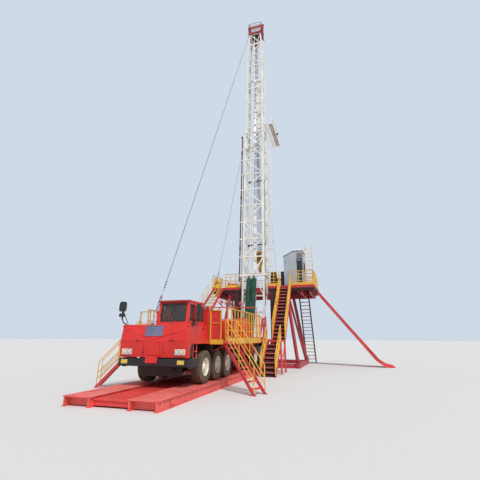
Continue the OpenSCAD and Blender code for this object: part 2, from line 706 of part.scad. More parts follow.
// Upper section, nested in the lower one
up_v0 = leg + 20;
up_v1 = low_depth - leg - 20;
up_leg = 125;
up_panel = 1600;
up_bays = floor((up_len - 190) / up_panel);
taper_w = 12200;
top_half = 660;
function up_x(w) = w < taper_w ? up_half : up_half - (up_half - top_half) * (w - taper_w) / (up_len - taper_w);
module mast_upper() {
    color([0.92, 0.92, 0.9])
        on_mast()
            translate([0, 0, up_base]) {
                for (s = [-1, 1]) {
                    for (v = [up_v0, up_v1 - up_leg])
                        translate([0, v + up_leg, 0])
                            rotate([90, 0, 0])
                                linear_extrude(height = up_leg)
                                    polygon([[s * up_half, 0], [s * (up_half - up_leg), 0], [s * (up_half - up_leg), taper_w],
                                        [s * (top_half - up_leg), up_len], [s * top_half, up_len], [s * up_half, taper_w]]);
                    for (i = [0:up_bays]) {
                        w = 150 + i * up_panel;
                        block([s * (up_x(w) - 40) - 30, up_v0 + 6, w - 33], [s * (up_x(w) - 40) + 30, up_v1 - 6, w + 33]);
                    }
                    for (i = [0:up_bays - 1]) {
                        w = 150 + i * up_panel;
                        v0 = i % 2 == 0 ? up_v0 + 52 : up_v1 - 52;
                        beam([s * (up_x(w) - 50), v0, w], [s * (up_x(w + up_panel) - 50), up_v0 + up_v1 - v0, w + up_panel], 50, 50);
                    }
                }
                for (i = [0:up_bays]) {
                    w = 150 + i * up_panel;
                    block([14 - up_x(w), up_v0 + 6, w - 42], [up_x(w) - 14, up_v0 + 72, w + 42]);
                }
                for (i = [0:up_bays - 1]) {
                    w = 150 + i * up_panel;
                    d = i % 2 == 0 ? 1 : -1;
                    beam([-d * (up_x(w) - 70), up_v0 + 40, w], [d * (up_x(w + up_panel) - 70), up_v0 + 40, w + up_panel], 48, 48);
                }
                // Plate beside the ram
                block([60, 500, low_len - up_base + 100], [540, 545, ram_head - up_base + 250]);
                for (w = [low_len - up_base + 300, ram_head - up_base + 80])
                    block([530, 500, w], [up_half - 50, 560, w + 60]);
                // Cross beam that the ram pushes
                block([12 - up_half, ram_v - 90, ram_head - up_base], [up_half - 12, ram_v + 90, ram_head - up_base + 180]);
                for (s = [-1, 1])
                    block([s * (up_half - 60) - 40, up_v0 + 20, ram_head - up_base + 20], [s * (up_half - 60) + 40, up_v1 - 20, ram_head - up_base + 160]);
            }
}

crown_w = up_base + up_len;
crown_drop = 1400;
crown_x = top_half + 110;
crown_v = [up_v0 - 140, up_v1 + 230];
crown_up = 760;
crown_reach = 1090;
module crown() {
    v0 = crown_v[0];
    v1 = crown_v[1];
    color([0.6, 0.05, 0.05])
        on_mast()
            translate([0, 0, crown_w]) {
                // Base frame with its plate
                for (s = [-1, 1])
                    block([s * (crown_x - 115) - 115, v0, 0], [s * (crown_x - 115) + 115, v1, 160]);
                for (v = [v0 + 10, v1 - 110])
                    block([20 - crown_x, v, 5], [crown_x - 20, v + 100, 150]);
                block([40 - crown_x, v0 + 20, 60], [crown_x - 40, v1 - 20, 100]);
                // Wedge that holds the lower sheaves
                translate([0, 850, 0])
                    rotate([90, 0, 0])
                        linear_extrude(height = 500)
                            polygon([[-500, 80], [500, 80], [200, -crown_drop], [-200, -crown_drop]]);
                // Sheaves on their pin between two plates
                for (x = [-250, 0, 250])
                    translate([x - 55, 700, 420])
                        rotate([0, 90, 0])
                            cylinder(h = 110, r = 330, $fn = 64);
                translate([-440, 700, 420])
                    rotate([0, 90, 0])
                        cylinder(h = 880, r = 70, $fn = 32);
                for (s = [-1, 1])
                    block([s * 400 - 25, 520, 90], [s * 400 + 25, 880, 540]);
                // Upper frame on posts, longer on the left side
                for (s = [-1, 1], v = [v0 + 40, v1 - 40])
                    block([s * (crown_x - 50) - 36, v - 36, 150], [s * (crown_x - 50) + 36, v + 36, crown_up + 10]);
                for (v = [v0 - 60, v1 - 100])
                    block([-crown_x - 10, v, crown_up], [v < 500 ? crown_reach : crown_x, v + 110, crown_up + 120]);
                for (s = [-1, 1])
                    block([s * (crown_x - 50) - 45, v0 + 90, crown_up + 5], [s * (crown_x - 50) + 45, v1 - 90, crown_up + 110]);
                // Housing of the side sheave
                block([crown_x - 60, v0 - 150, 120], [crown_reach - 20, v0 - 40, crown_up + 60]);
                block([crown_x - 60, v0 - 60, 100], [crown_x - 20, v0 + 30, 150]);
                // Rails
                for (s = [-1, 1], v = [v0 + 40, v1 - 50])
                    block([s * (crown_x - 50) - 24, v - 24, crown_up + 100], [s * (crown_x - 50) + 24, v + 24, crown_up + 900]);
                for (w = [crown_up + 480, crown_up + 860]) {
                    for (s = [-1, 1])
                        block([s * (crown_x - 50) - 19, v0 + 30, w], [s * (crown_x - 50) + 19, v1 - 40, w + 38]);
                    for (v = [v0 + 40, v1 - 50])
                        block([50 - crown_x, v - 17, w + 2], [crown_x - 50, v + 17, w + 36]);
                }
            }
}

// Racking board at the head of the lower section
board_in = 470;
board_out = 1780;
board_v = [130, 4100];
fingers = 9;
pin_gap = 0.3;
module racking_board() {
    x0 = board_x + 90;
    v0 = board_v[0];
    v1 = board_v[1];
    color([0.9, 0.9, 0.88])
        on_mast()
            difference() {
                union() {
                    for (x = [x0, board_out - 340, board_out - 80])
                        block([x, v0, board_w - 60], [x + 80, v1, board_w + 40]);
                    block([x0 + 5, v0 + 8, board_w - 50], [board_out - 5, v0 + 90, board_w + 34]);
                    block([board_in, v1 - 90, board_w - 50], [board_out - 5, v1 - 8, board_w + 34]);
                    // Walkway and fingers
                    block([board_out - 300, v0 + 20, board_w - 10], [board_out - 40, v1 - 20, board_w + 20]);
                    for (i = [0:fingers - 1]) {
                        v = v0 + 330 + i * 400;
                        block([v < 1400 ? x0 + 20 : board_in + 20, v, board_w - 30], [board_out - 280, v + 70, board_w + 28]);
                    }
                    // Outer rail
                    for (v = [v0 + 40, v0 + 1330, v0 + 2640, v1 - 40])
                        block([board_out - 70, v - 25, board_w], [board_out - 20, v + 25, board_w + 1060]);
                    for (w = [520, 1020])
                        block([board_out - 64, v0 + 30, board_w + w], [board_out - 26, v1 - 30, board_w + w + 38]);
                    // Bored barrels of the hinge
                    for (v = [v0 + 20, low_depth - 350]) {
                        block([board_x, v, board_w - 25], [x0 + 10, v + 190, board_w + 25]);
                        translate([board_x, v, board_w])
                            rotate([-90, 0, 0])
                                cylinder(h = 190, r = 42, $fn = 48);
                    }
                }
                translate([board_x, v0 - 10, board_w])
                    rotate([-90, 0, 0])
                        cylinder(h = low_depth - v0, r = 20 + pin_gap, $fn = 48);
            }
}

module travelling_block() {
    color([0.9, 0.65, 0.1]) {
        block([-200, -220, 8300], [200, 220, 9300]);
        for (s = [-1, 1])
            translate([s * 130, 0, 8800])
                rotate([0, 90, 0])
                    cylinder(h = 150, r = 330, center = true, $fn = 48);
        block([-90, -90, 7300], [90, 90, 8310]);
    }
}

// Lines between the crown and the travelling block
line_r = 12;
line_w = crown_w - crown_drop;
line_top = mast_point(0, (-hinge_y - line_w * sin(lean)) / cos(lean), line_w)[2] - 3.5;
module drill_lines() {
    color([0.3, 0.3, 0.3])
        for (x = [-130, 130], y = [-40, 40])
            translate([x, y, 9300])
                cylinder(h = line_top - 9300, r = line_r, $fn = 16);
}

// Raising cylinders
raise_x = [-240, 180];
barrel_len = 2000;
sleeve_r = 203;
raise_dir = [0, pin_up[0] - pin_low[0], pin_up[1] - pin_low[1]];
raise_l = norm(raise_dir);
raise_u = raise_dir / raise_l;
eye_w = 180;
module raise_barrels() {
    color([0.05, 0.25, 0.15])
        for (x = raise_x) {
            p = [x, pin_low[0], pin_low[1]];
            difference() {
                union() {
                    rod(p + raise_u * 125, p + raise_u * barrel_len, sleeve_r);
                    translate(p)
                        rotate([0, 90, 0])
                            cylinder(h = eye_w, r = 130, center = true, $fn = 48);
                }
                translate(p)
                    rotate([0, 90, 0])
                        cylinder(h = eye_w + 20, r = pin_r - 5 + run_gap, center = true, $fn = 48);
            }
        }
}
module raise_rams() {
    color([0.05, 0.25, 0.15])
        for (x = raise_x) {
            p = [x, pin_low[0], pin_low[1]];
            q = [x, pin_up[0], pin_up[1]];
            difference() {
                union() {
                    rod(p + raise_u * (barrel_len + 0.3), q - raise_u * 120, sleeve_r - 10);
                    translate(q)
                        rotate([0, 90, 0])
                            cylinder(h = eye_w, r = 125, center = true, $fn = 48);
                }
                translate(q)
                    rotate([0, 90, 0])
                        cylinder(h = eye_w + 20, r = pin_r - 5 + run_gap, center = true, $fn = 48);
            }
        }
}

// Frames under the drill floor
sub_foot = [[-2900, -2100], [3300, 2500]];
under_z = floor_z - floor_t;
girder_h = 420;
module substructure() {
    color([0.7, 0.09, 0.1]) {
        for (p = sub_foot)
            block([p[0] - 120, -2600, 0], [p[0] + 120, 3000, 300]);
        intersection() {
            union()
                for (p = sub_foot) {
                    beam([p[1], -1600, under_z + 200], [p[0], -2350, 100], 180, 180);
                    beam([p[1], 1600, under_z + 200], [p[0], 2600, 100], 180, 180);
                    beam([p[1], -1450, under_z + 200], [p[0], 2300, 100], 130, 130);
                }
            block([-5000, -5000, 150], [5000, 5000, under_z]);
        }
        for (y = [-2350, 2750])
            block([sub_foot[0][0], y - 110, 20], [sub_foot[1][0], y + 110, 280]);
        // Girders that carry the floor's wings
        for (x = [floor_x0 + 290, floor_x1 - 1020, floor_x1 - 370])
            block([x - 70, floor_y0 + 200, under_z - girder_h], [x + 70, floor_y1 - 120, under_z]);
        block([floor_x0 + 220, floor_y1 - 460, under_z - girder_h], [floor_x1 - 300, floor_y1 - 320, under_z]);
        // Columns beside the mast
        for (s = [-1, 1])
            block([s * 1500 - 230, -1850, 0], [s * 1500 + 230, -1500, under_z]);
        block([-1500, -1800, 60], [1500, -1560, 260]);
    }
}

notch_x = 1120;
notch_y = -800;
module drill_floor() {
    color([0.7, 0.1, 0.1])
        difference() {
            block([floor_x0, floor_y0, floor_z - floor_t], [floor_x1, floor_y1, floor_z]);
            block([-notch_x, floor_y0 - 1, floor_z - floor_t - 1], [notch_x, notch_y, floor_z + 1]);
            translate([0, 0, floor_z - floor_t - 1])
                cylinder(h = floor_t + 2, r = 520, $fn = 96);
        }
}

module rotary_table() {
    color([0.3, 0.3, 0.3])
        difference() {
            union() {
                translate([0, 0, floor_z - 200])
                    cylinder(h = 240, r = 519.7, $fn = 96);
                translate([0, 0, floor_z])
                    cylinder(h = 80, r = 560, $fn = 96);
            }
            translate([0, 0, floor_z - 300])
                cylinder(h = 500, r = rotary_r, $fn = 96);
        }
}

stair_x0 = 2090;
stair_x1 = 3000;
rail_in = rail_t / 2 + 5;
module floor_rails() {
    z = floor_z;
    x0 = floor_x0 + rail_in;
    x1 = floor_x1 - rail_in;
    y0 = floor_y0 + rail_in;
    y1 = floor_y1 - rail_in;
    color([0.9, 0.7, 0.1]) {
        handrail([x0, y0, z], [x0, y1, z], 4);
        handrail([x0 + 50, y1, z], [2900, y1, z], 6);
        handrail([3950, y1, z], [x1 - 50, y1, z], 2);
        handrail([x1, y0, z], [x1, 500, z], 4);
        handrail([stair_x1 + 60, y0, z], [x1 - 50, y0, z], 3);
        handrail([notch_x + 60, y0, z], [stair_x0 - 60, y0, z], 2);
        handrail([-2500, y0, z], [-notch_x - 60, y0, z], 3);
    }
}

// Main stair: two flights and a landing
land_z = 1900;
land_y0 = -6900;
land_y1 = -5400;
module floor_stair() {
    x = (stair_x0 + stair_x1) / 2;
    w = stair_x1 - stair_x0 - 60;
    color([0.7, 0.1, 0.1]) {
        flight([x, land_y1 - 200, land_z - 60], [x, floor_y0, floor_z], w, 16);
        block([stair_x0 - 10, land_y0, land_z - 120], [stair_x1 + 10, land_y1, land_z]);
        flight([x, land_y0 - 2000, 0], [x, land_y0 + 20, land_z - 5], w, 8);
        for (xx = [stair_x0 + 60, stair_x1 - 60], y = [land_y0 + 80, land_y1 - 80])
            block([xx - 50, y - 50, 0], [xx + 50, y + 50, land_z - 110]);
    }
    color([0.9, 0.7, 0.1]) {
        flight_rails([x, land_y1 - 200, land_z - 60], [x, floor_y0 - 40, floor_z], w, 5);
        flight_rails([x, land_y0 - 2000, 0], [x, land_y0 + 20, land_z - 5], w, 3);
        handrail([stair_x1 - 20, land_y0 + 40, land_z], [stair_x1 - 20, land_y1 - 40, land_z], 3);
    }
}

// Stair from the carrier's deck to the floor, on the far side
module deck_stair() {
    x = -3150;
    color([0.75, 0.12, 0.1])
        flight([x, far_plat_y1 - 250, deck_z - 4], [x, floor_y0, floor_z], 860, 15, 320, 70);
    color([0.9, 0.7, 0.1])
        flight_rails([x, far_plat_y1 - 250, deck_z - 4], [x, floor_y0 - 40, floor_z], 860, 5);
}

module rear_stair() {
    color([0.35, 0.07, 0.07])
        flight([3430, 4950, 0], [3430, floor_y1, floor_z], 820, 20, 260, 90);
}

// Ramp for pipe, from the ground to the floor's left edge
ramp_y = [350, 1700];
ramp_end = 9900;
module ramp_profile(depth, sink) {
    polygon([[floor_x1, floor_z - 200 - sink], [floor_x1, floor_z - 200 - depth], [8700, 420 - sink * 0.6], [9300, 0],
        [ramp_end, 0], [ramp_end, 120 - sink], [9400, 230 - sink], [8900, 560 - sink]]);
}
module pipe_ramp() {
    color([0.75, 0.1, 0.12]) {
        for (y = ramp_y)
            translate([0, y + 45, 0])
                rotate([90, 0, 0])
                    linear_extrude(height = 90)
                        ramp_profile(300, 0);
        translate([0, ramp_y[1], 0])
            rotate([90, 0, 0])
                linear_extrude(height = ramp_y[1] - ramp_y[0])
                    polygon([[floor_x1 + 1, floor_z - 330], [floor_x1 + 1, floor_z - 400], [8800, 380], [9330, 80],
                        [9330, 130], [8840, 440]]);
    }
}

// Doghouse: a hollow cabin, its roof sloped on the right
dog_x0 = 2350;
dog_x1 = 3900;
dog_ridge = 3130;
dog_y = [-1150, 900];
dog_wall = 50;
dog_win = [-650, 0, 1300, 2000];
dog_door = [110, 800, 60, 1990];
dog_h = [2500, 2880];
// Openings of the front wall: from x, to x, from and to above the floor
dog_front = [[3430, 3760, 1000, 2000], [3430, 3760, 160, 900]];
dog_axis = [dog_x1 + 14, dog_door[0] + pane_gap];
dog_hinge_z = [floor_z + 350, floor_z + 1700];
module doghouse() {
    color([0.6, 0.66, 0.7]) {
        for (z = dog_hinge_z)
            hinge_fixed([dog_axis[0], dog_axis[1], z], dog_x1 - 1);
        difference() {
            translate([0, dog_y[1], floor_z])
                rotate([90, 0, 0])
                    linear_extrude(height = dog_y[1] - dog_y[0])
                        polygon([[dog_x0, 0], [dog_x0, dog_h[0]], [dog_ridge, dog_h[1]], [dog_x1, dog_h[1]], [dog_x1, 0]]);
            translate([0, dog_y[1] - dog_wall, floor_z])
                rotate([90, 0, 0])
                    linear_extrude(height = dog_y[1] - dog_y[0] - 2 * dog_wall)
                        polygon([[dog_x0 + dog_wall, dog_wall], [dog_x0 + dog_wall, dog_h[0] - 60], [dog_ridge, dog_h[1] - 80],
                            [dog_x1 - dog_wall, dog_h[1] - 80], [dog_x1 - dog_wall, dog_wall]]);
            for (k = dog_front)
                block([k[0], dog_y[0] - 10, floor_z + k[2]], [k[1], dog_y[0] + dog_wall + 10, floor_z + k[3]]);
            block([dog_x1 - dog_wall - 10, dog_win[0], floor_z + dog_win[2]], [dog_x1 + 10, dog_win[1], floor_z + dog_win[3]]);
            block([dog_x1 - dog_wall - 10, dog_door[0], floor_z + dog_door[2]], [dog_x1 + 10, dog_door[1], floor_z + dog_door[3]]);
        }
    }
}
module doghouse_door() {
    color([0.55, 0.6, 0.64]) {
        for (z = dog_hinge_z)
            hinge_leaf([dog_axis[0], dog_axis[1], z], dog_x1 - 5);
        block([dog_x1 - dog_wall, dog_door[0] + pane_gap, floor_z + dog_door[2] + 5], [dog_x1 - 5, dog_door[1] - 5, floor_z + dog_door[3] - 5]);
    }
}

// Stays from the crown to the deck and from the mast to the floor
stay_low = [-560, -15900, nose_top + 60];
stay_top = mast_point(-top_half + 20, 80, crown_w - 20);
side_low = [-3450, -1700, floor_z + 60];
side_top = mast_point(-low_half - 25, 125, 17000);
module stay(low, top, t) {
    u = (top - low) / norm(top - low);
    beam(low, top, t, t);
    beam(top - u * 300, top, 1.6 * t, 1.6 * t);
    beam(low + u * 900, low + u * 1500, 3 * t, 3 * t);
    block(low - [50, 50, 60], low + [50, 50, 30]);
}
module stays() {
    color([0.3, 0.3, 0.3]) {
        stay(stay_low, stay_top, 28);
        stay(side_low, side_top, 24);
    }
}

// Cab door and its pane
module cab_door() {
    color([0.8, 0.08, 0.07]) {
        for (z = door_hinge_z)
            hinge_leaf([door_axis[0], door_axis[1], z], cab_x1 + 45);
        difference() {
            block([cab_x1 + pane_gap, door_y0, door_foot], [cab_x1 + 45, door_y1, door_z1]);
            block([cab_x1 - 1, door_y0 + 90, sill_z + 80], [cab_x1 + 46, door_y1 - 90, door_z1 - 90]);
        }
    }
}
module door_glass() {
    color([0.3, 0.35, 0.36, 0.5])
        block([cab_x1 + 20, door_y0 + 90 + pane_gap, sill_z + 82], [cab_x1 + 28, door_y1 - 90 - pane_gap, door_z1 - 92]);
}

base_mat();
chassis();
bumper();
nose();
cab();
cab_seat();
glazing();
mirrors();
lamps();
axles();
deck();
power_pack();
engine_block();
drawworks();
deck_rails();
access_stairs();
mast_base();
substructure();
drill_floor();
floor_rails();
floor_stair();
deck_stair();
rear_stair();
pipe_ramp();
rotary_table();
doghouse();
stays();
cab_door();
door_glass();
doghouse_door();
knuckle(0, 1);  // knuckle_1l
knuckle(0, -1);  // knuckle_1r
knuckle(1, 1);  // knuckle_2l
knuckle(1, -1);  // knuckle_2r
knuckle(2, 1);  // knuckle_3l
knuckle(2, -1);  // knuckle_3r
wheel(0, 1);  // wheel_1l
wheel(0, -1);  // wheel_1r
wheel(1, 1);  // wheel_2l
wheel(1, -1);  // wheel_2r
wheel(2, 1);  // wheel_3l
wheel(2, -1);  // wheel_3r
wheel(3, 1);  // wheel_4l
wheel(3, -1);  // wheel_4r
wheel(4, 1);  // wheel_5l
wheel(4, -1);  // wheel_5r
wheel(5, 1);  // wheel_6l
wheel(5, -1);  // wheel_6r
mast_lower();
standpipe();
lift_barrel();
lift_ram();
mast_upper();
crown();
racking_board();
travelling_block();
drill_lines();
raise_barrels();
raise_rams();
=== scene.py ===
"""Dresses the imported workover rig: finishes, fine forms, camera and light. Metres, in the rig's own frame."""
import math
import random

import bmesh
import bpy
from mathutils import Matrix, Vector


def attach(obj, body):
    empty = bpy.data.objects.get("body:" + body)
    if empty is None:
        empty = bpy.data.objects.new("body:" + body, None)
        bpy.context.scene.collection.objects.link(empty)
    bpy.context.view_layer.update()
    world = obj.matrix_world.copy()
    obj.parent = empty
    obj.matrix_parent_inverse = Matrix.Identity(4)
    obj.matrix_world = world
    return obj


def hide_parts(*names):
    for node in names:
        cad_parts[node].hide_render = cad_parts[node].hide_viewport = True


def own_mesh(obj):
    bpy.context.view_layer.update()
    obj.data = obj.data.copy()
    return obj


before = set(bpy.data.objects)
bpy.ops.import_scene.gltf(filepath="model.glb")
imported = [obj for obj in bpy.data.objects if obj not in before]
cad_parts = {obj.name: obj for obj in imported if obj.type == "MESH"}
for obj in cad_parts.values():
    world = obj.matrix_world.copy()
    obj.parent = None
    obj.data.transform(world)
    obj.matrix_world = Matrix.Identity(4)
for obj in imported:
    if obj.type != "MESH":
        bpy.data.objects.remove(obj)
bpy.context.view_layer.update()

# The photograph's camera
PHOTO_PX = 480
FOCAL_PX = 335.2
RISE_PX = 26.2
SENSOR_MM = 36.0
EYE = (7.158, -28.53, 2.004)
HEADING = 17.54
PITCH = 20.345
ROLL = 0.2

# Carrier
FRONT_Y = -16.68
BODY_HALF = 1.45
MAT_Z = 0.3
DECK_Z = 1.93
NOSE_TOP = 2.49
CAB_X0, CAB_X1 = 0.02, 1.3
CAB_Y0, CAB_Y1 = -16.5, -15.02
CAB_TOP = 3.39
AXLE_Y = (-14.8, -13.45, -12.15, -7.0, -5.65, -4.3)
STEERED = 3
TRACK_HALF = 1.2
TYRE_R = 0.615
WHEEL_Z = 0.92
PLATFORM_X = 2.05
PLATFORM_Y = (-14.6, -8.2)
RAIL_Y0 = -13.95
FAR_Y = -6.9
FAR_X = 3.64
SIDE_RAIL_H = 1.33

# Mast
HINGE_Y = -2.48
HINGE_Z = 3.45
LEAN = math.radians(3.5)
LOW_HALF = 0.945
LOW_DEPTH = 1.25
LOW_LEN = 17.6
LEG = 0.15
LOW_ROWS = (4.92, 6.51, 8.1, 9.69, 11.28, 12.87, 14.46, 15.7)
TIE_W = 3.397
UP_HALF = 0.866
TOP_HALF = 0.66
TAPER_W = 27.5
UP_V = (0.17, 1.08)
UP_LEG = 0.125
UP_ROWS = tuple(15.45 + 1.6 * i for i in range(11))
CROWN_W = 31.5
CROWN_V = (0.03, 1.31)
CROWN_X = 0.77
CROWN_UP = 0.76
CROWN_REACH = 1.09
CROWN_DROP = 1.4
BOARD_W = 18.35
BOARD_X = 1.005
BOARD_IN = 0.47
BOARD_OUT = 1.78
BOARD_V = (0.13, 4.1)
BARREL_TOP = 9.9
RAM_V = 0.36
RAM_HEAD = 24.4
RAISE_X = (-0.24, 0.18)
PIN_LOW = (-3.6, 2.1)
PIN_UP = (-0.35, 3.1)
BLOCK_Z = (7.3, 9.3)

# Stairs: ends of the main stair's flights as (y, z), and the foot of the far one
STAIR_X = 2.545
STAIR_FOOT = (-8.9, 0)
STAIR_TURN = (-6.88, 1.895)
LANDING = (-5.6, 1.84)
FAR_STAIR_FOOT = (-3.15, FAR_Y - 0.25, DECK_Z - 0.004)

# Drill floor
FLOOR_Z = 5.92
FLOOR_X = (-3.69, 4.77)
FLOOR_Y = (-1.94, 2.02)
UNDER_Z = 5.64
RAIL_H = 1.1
RAIL_IN = 0.033
RAIL_R = 0.028
DOG_X = (2.35, 3.9)
DOG_RIDGE = 3.13
DOG_Y = (-1.15, 0.9)
DOG_H = (2.5, 2.88)
DOG_PANES = ((1.0, 2.0), (0.16, 0.9))
PANE_X = (3.43, 3.76)

MAST = Matrix.Translation((0, HINGE_Y, HINGE_Z)) @ Matrix.Rotation(-LEAN, 4, "X")


def mast_point(x, v, w):
    """A point of the mast's own frame, in the rig's frame."""
    return MAST @ Vector((x, v, w))


# Shapes

BOX_FACES = ((0, 2, 3, 1), (4, 5, 7, 6), (0, 1, 5, 4), (2, 6, 7, 3), (0, 4, 6, 2), (1, 3, 7, 5))


class Shape:
    """Collects boxes, bars and turned forms for one piece. Its place moves all of them."""

    def __init__(self, place=None):
        self.place = place or Matrix.Identity(4)
        self.points = []
        self.faces = []

    def add(self, points, faces):
        start = len(self.points)
        self.points += [self.place @ Vector(p) for p in points]
        self.faces += [[start + k for k in face] for face in faces]

    def block(self, low, high):
        """A box between two corners."""
        xs, ys, zs = (sorted(pair) for pair in zip(low, high))
        points = [(x, y, z) for z in zs for y in ys for x in xs]
        self.add(points, BOX_FACES)

    def bar(self, a, b, wide, deep=None):
        """A square tube from a to b: wide is its level width."""
        a, b = Vector(a), Vector(b)
        along = (b - a).normalized()
        level = along.cross(Vector((0, 0, 1)))
        level = Vector((0, 1, 0)) if level.length < 1e-6 else level.normalized()
        other = level.cross(along) * (deep or wide) / 2
        level = level * wide / 2
        points = [end + s * level + t * other for end in (a, b) for t in (-1, 1) for s in (-1, 1)]
        self.add(points, BOX_FACES)

    def tube(self, route, radius, sides=10):
        """A round bar along a route of points. radius is one number or one for each point."""
        route = [Vector(p) for p in route]
        radii = radius if isinstance(radius, (list, tuple)) else [radius] * len(route)
        side = None
        points = []
        for i, p in enumerate(route):
            ahead = route[min(i + 1, len(route) - 1)] - route[max(i - 1, 0)]
            along = ahead.normalized()
            if side is None:
                side = along.orthogonal().normalized()
            side = (side - along * side.dot(along)).normalized()
            up = along.cross(side)
            for k in range(sides):
                turn = 2 * math.pi * k / sides
                points.append(p + radii[i] * (math.cos(turn) * side + math.sin(turn) * up))
        faces = [tuple(range(sides))[::-1], tuple(range(len(points) - sides, len(points)))]
        for i in range(len(route) - 1):
            for k in range(sides):
                m = (k + 1) % sides
                faces.append((i * sides + k, i * sides + m, (i + 1) * sides + m, (i + 1) * sides + k))
        self.add(points, faces)

    def turned(self, centre, axis, profile, sides=32, closed=False):
        """A turned form about an axis. profile lists (along, radius); a closed one is a ring."""
        centre, axis = Vector(centre), Vector(axis).normalized()
        side = axis.orthogonal().normalized()
        up = axis.cross(side)
        points = []
        for along, radius in profile:
            for k in range(sides):
                turn = 2 * math.pi * k / sides
                points.append(centre + along * axis + radius * (math.cos(turn) * side + math.sin(turn) * up))
        rows = len(profile)
        faces = []
        for i in range(rows if closed else rows - 1):
            j = (i + 1) % rows
            for k in range(sides):
                m = (k + 1) % sides
                faces.append((i * sides + k, i * sides + m, j * sides + m, j * sides + k))
        if not closed:
            faces.append(tuple(range(sides))[::-1])
            faces.append(tuple(range((rows - 1) * sides, rows * sides)))
        self.add(points, faces)

    def prism(self, outline, low, high, across="x"):
        """An outline drawn in the other two axes, from low to high along x or y."""
        count = len(outline)
        ends = sorted((low, high))
        points = [(t, a, b) if across == "x" else (a, t, b) for t in ends for a, b in outline]
        faces = [tuple(range(count))[::-1], tuple(range(count, 2 * count))]
        faces += [(k, (k + 1) % count, count + (k + 1) % count, count + k) for k in range(count)]
        self.add(points, faces)

    def bolts(self, places, axis, radius=0.016, height=0.014):
        """Six-sided bolt heads standing along axis."""
        for p in places:
            self.turned(p, axis, [(-0.004, radius), (height, radius), (height + 0.004, radius * 0.7)], 6)


def piece(shape, name, finish, body="carrier", bevel=0.004, replaces=(), smooth=40, segments=1):
    """Makes a shape a piece of the rig, with soft edges and its finish."""
    mesh = bpy.data.meshes.new(name)
    mesh.from_pydata(shape.points, [], shape.faces)
    mesh.materials.append(paint[finish])
    obj = bpy.data.objects.new(name, mesh)
    bpy.context.scene.collection.objects.link(obj)
    tidy_normals(mesh)
    mesh.shade_smooth()
    mesh.set_sharp_from_angle(angle=math.radians(smooth))
    if bevel:
        soften(obj, bevel, segments)
    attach(obj, body)
    if replaces:
        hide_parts(*replaces)
    return obj


def tidy_normals(mesh):
    """Turns every face outward."""
    work = bmesh.new()
    work.from_mesh(mesh)
    bmesh.ops.recalc_face_normals(work, faces=work.faces)
    work.to_mesh(mesh)
    work.free()


def soften(obj, width, segments=1):
    """Rounds an object's edges a little."""
    mod = obj.modifiers.new("soft_edges", "BEVEL")
    mod.width = width
    mod.segments = segments
    mod.limit_method = "ANGLE"
    mod.angle_limit = math.radians(40)
    mod.harden_normals = True


def keep(node, finish, bevel=0.004):
    """A CAD node that stays, with its finish and soft edges."""
    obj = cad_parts[node]
    obj.data.materials.clear()
    obj.data.materials.append(paint[finish])
    if bevel:
        soften(obj, bevel)
    return obj


# Finishes


def add_node(nodes, kind, **values):
    """A shader node with some of its inputs set; a blank in an input's name is written as _."""
    node = nodes.new("ShaderNode" + kind)
    for socket, value in values.items():
        node.inputs[socket.replace("_", " ")].default_value = value
    return node


def painted(name, colour, rough=0.4, dust=0.2, dust_colour=(0.42, 0.30, 0.20), wear=0.15,
            scale=1.0, grime=0.25):
    """Paint with a mottled tone, dust that gathers on top faces, chips and a fine peel."""
    finish = bpy.data.materials.new(name)
    finish.use_nodes = True
    nodes, links = finish.node_tree.nodes, finish.node_tree.links
    shader = nodes["Principled BSDF"]
    where = nodes.new("ShaderNodeTexCoord").outputs["Object"]

    def noise(size, detail=4.0, rough=0.6):
        node = add_node(nodes, "TexNoise", Scale=size * scale, Detail=detail, Roughness=rough)
        links.new(where, node.inputs["Vector"])
        return node.outputs["Fac"]

    def ramp(value, low, high, start=0.0, end=1.0):
        node = add_node(nodes, "MapRange", From_Min=low, From_Max=high, To_Min=start, To_Max=end)
        links.new(value, node.inputs["Value"])
        return node.outputs["Result"]

    def mix(share, first, second):
        node = nodes.new("ShaderNodeMix")
        node.data_type = "RGBA"
        for socket, value in ((node.inputs[0], share), (node.inputs[6], first), (node.inputs[7], second)):
            if hasattr(value, "links"):
                links.new(value, socket)
            else:
                socket.default_value = value if socket is node.inputs[0] else (*value, 1)
        return node.outputs[2]

    deep = tuple(c * (1 - grime) for c in colour)
    pale = tuple(min(1, c * 1.08 + 0.01) for c in colour)
    tone = mix(ramp(noise(0.9), 0.35, 0.65), deep, pale)
    chipped = mix(ramp(noise(24, 6, 0.75), 0.70, 0.74, 0, wear), tone, tuple(c * 0.35 + 0.02 for c in colour))
    facing = nodes.new("ShaderNodeNewGeometry")
    split = nodes.new("ShaderNodeSeparateXYZ")
    links.new(facing.outputs["Normal"], split.inputs["Vector"])
    top = ramp(split.outputs["Z"], 0.3, 1.0, 0.25, 1.0)
    patch = ramp(noise(2.3, 6, 0.7), 0.35, 0.7, 0, dust)
    share = nodes.new("ShaderNodeMath")
    share.operation = "MULTIPLY"
    links.new(top, share.inputs[0])
    links.new(patch, share.inputs[1])
    links.new(mix(share.outputs["Value"], chipped, dust_colour), shader.inputs["Base Color"])
    links.new(ramp(noise(5.0), 0.3, 0.7, rough - 0.08, min(1, rough + 0.14)), shader.inputs["Roughness"])
    bump = add_node(nodes, "Bump", Strength=0.12, Distance=0.004)
    links.new(noise(60, 3), bump.inputs["Height"])
    links.new(bump.outputs["Normal"], shader.inputs["Normal"])
    return finish


def metal(name, colour, rough=0.35):
    """Bare steel or chrome with rubbed patches."""
    finish = painted(name, colour, rough, dust=0.08, wear=0.05)
    finish.node_tree.nodes["Principled BSDF"].inputs["Metallic"].default_value = 0.9
    return finish


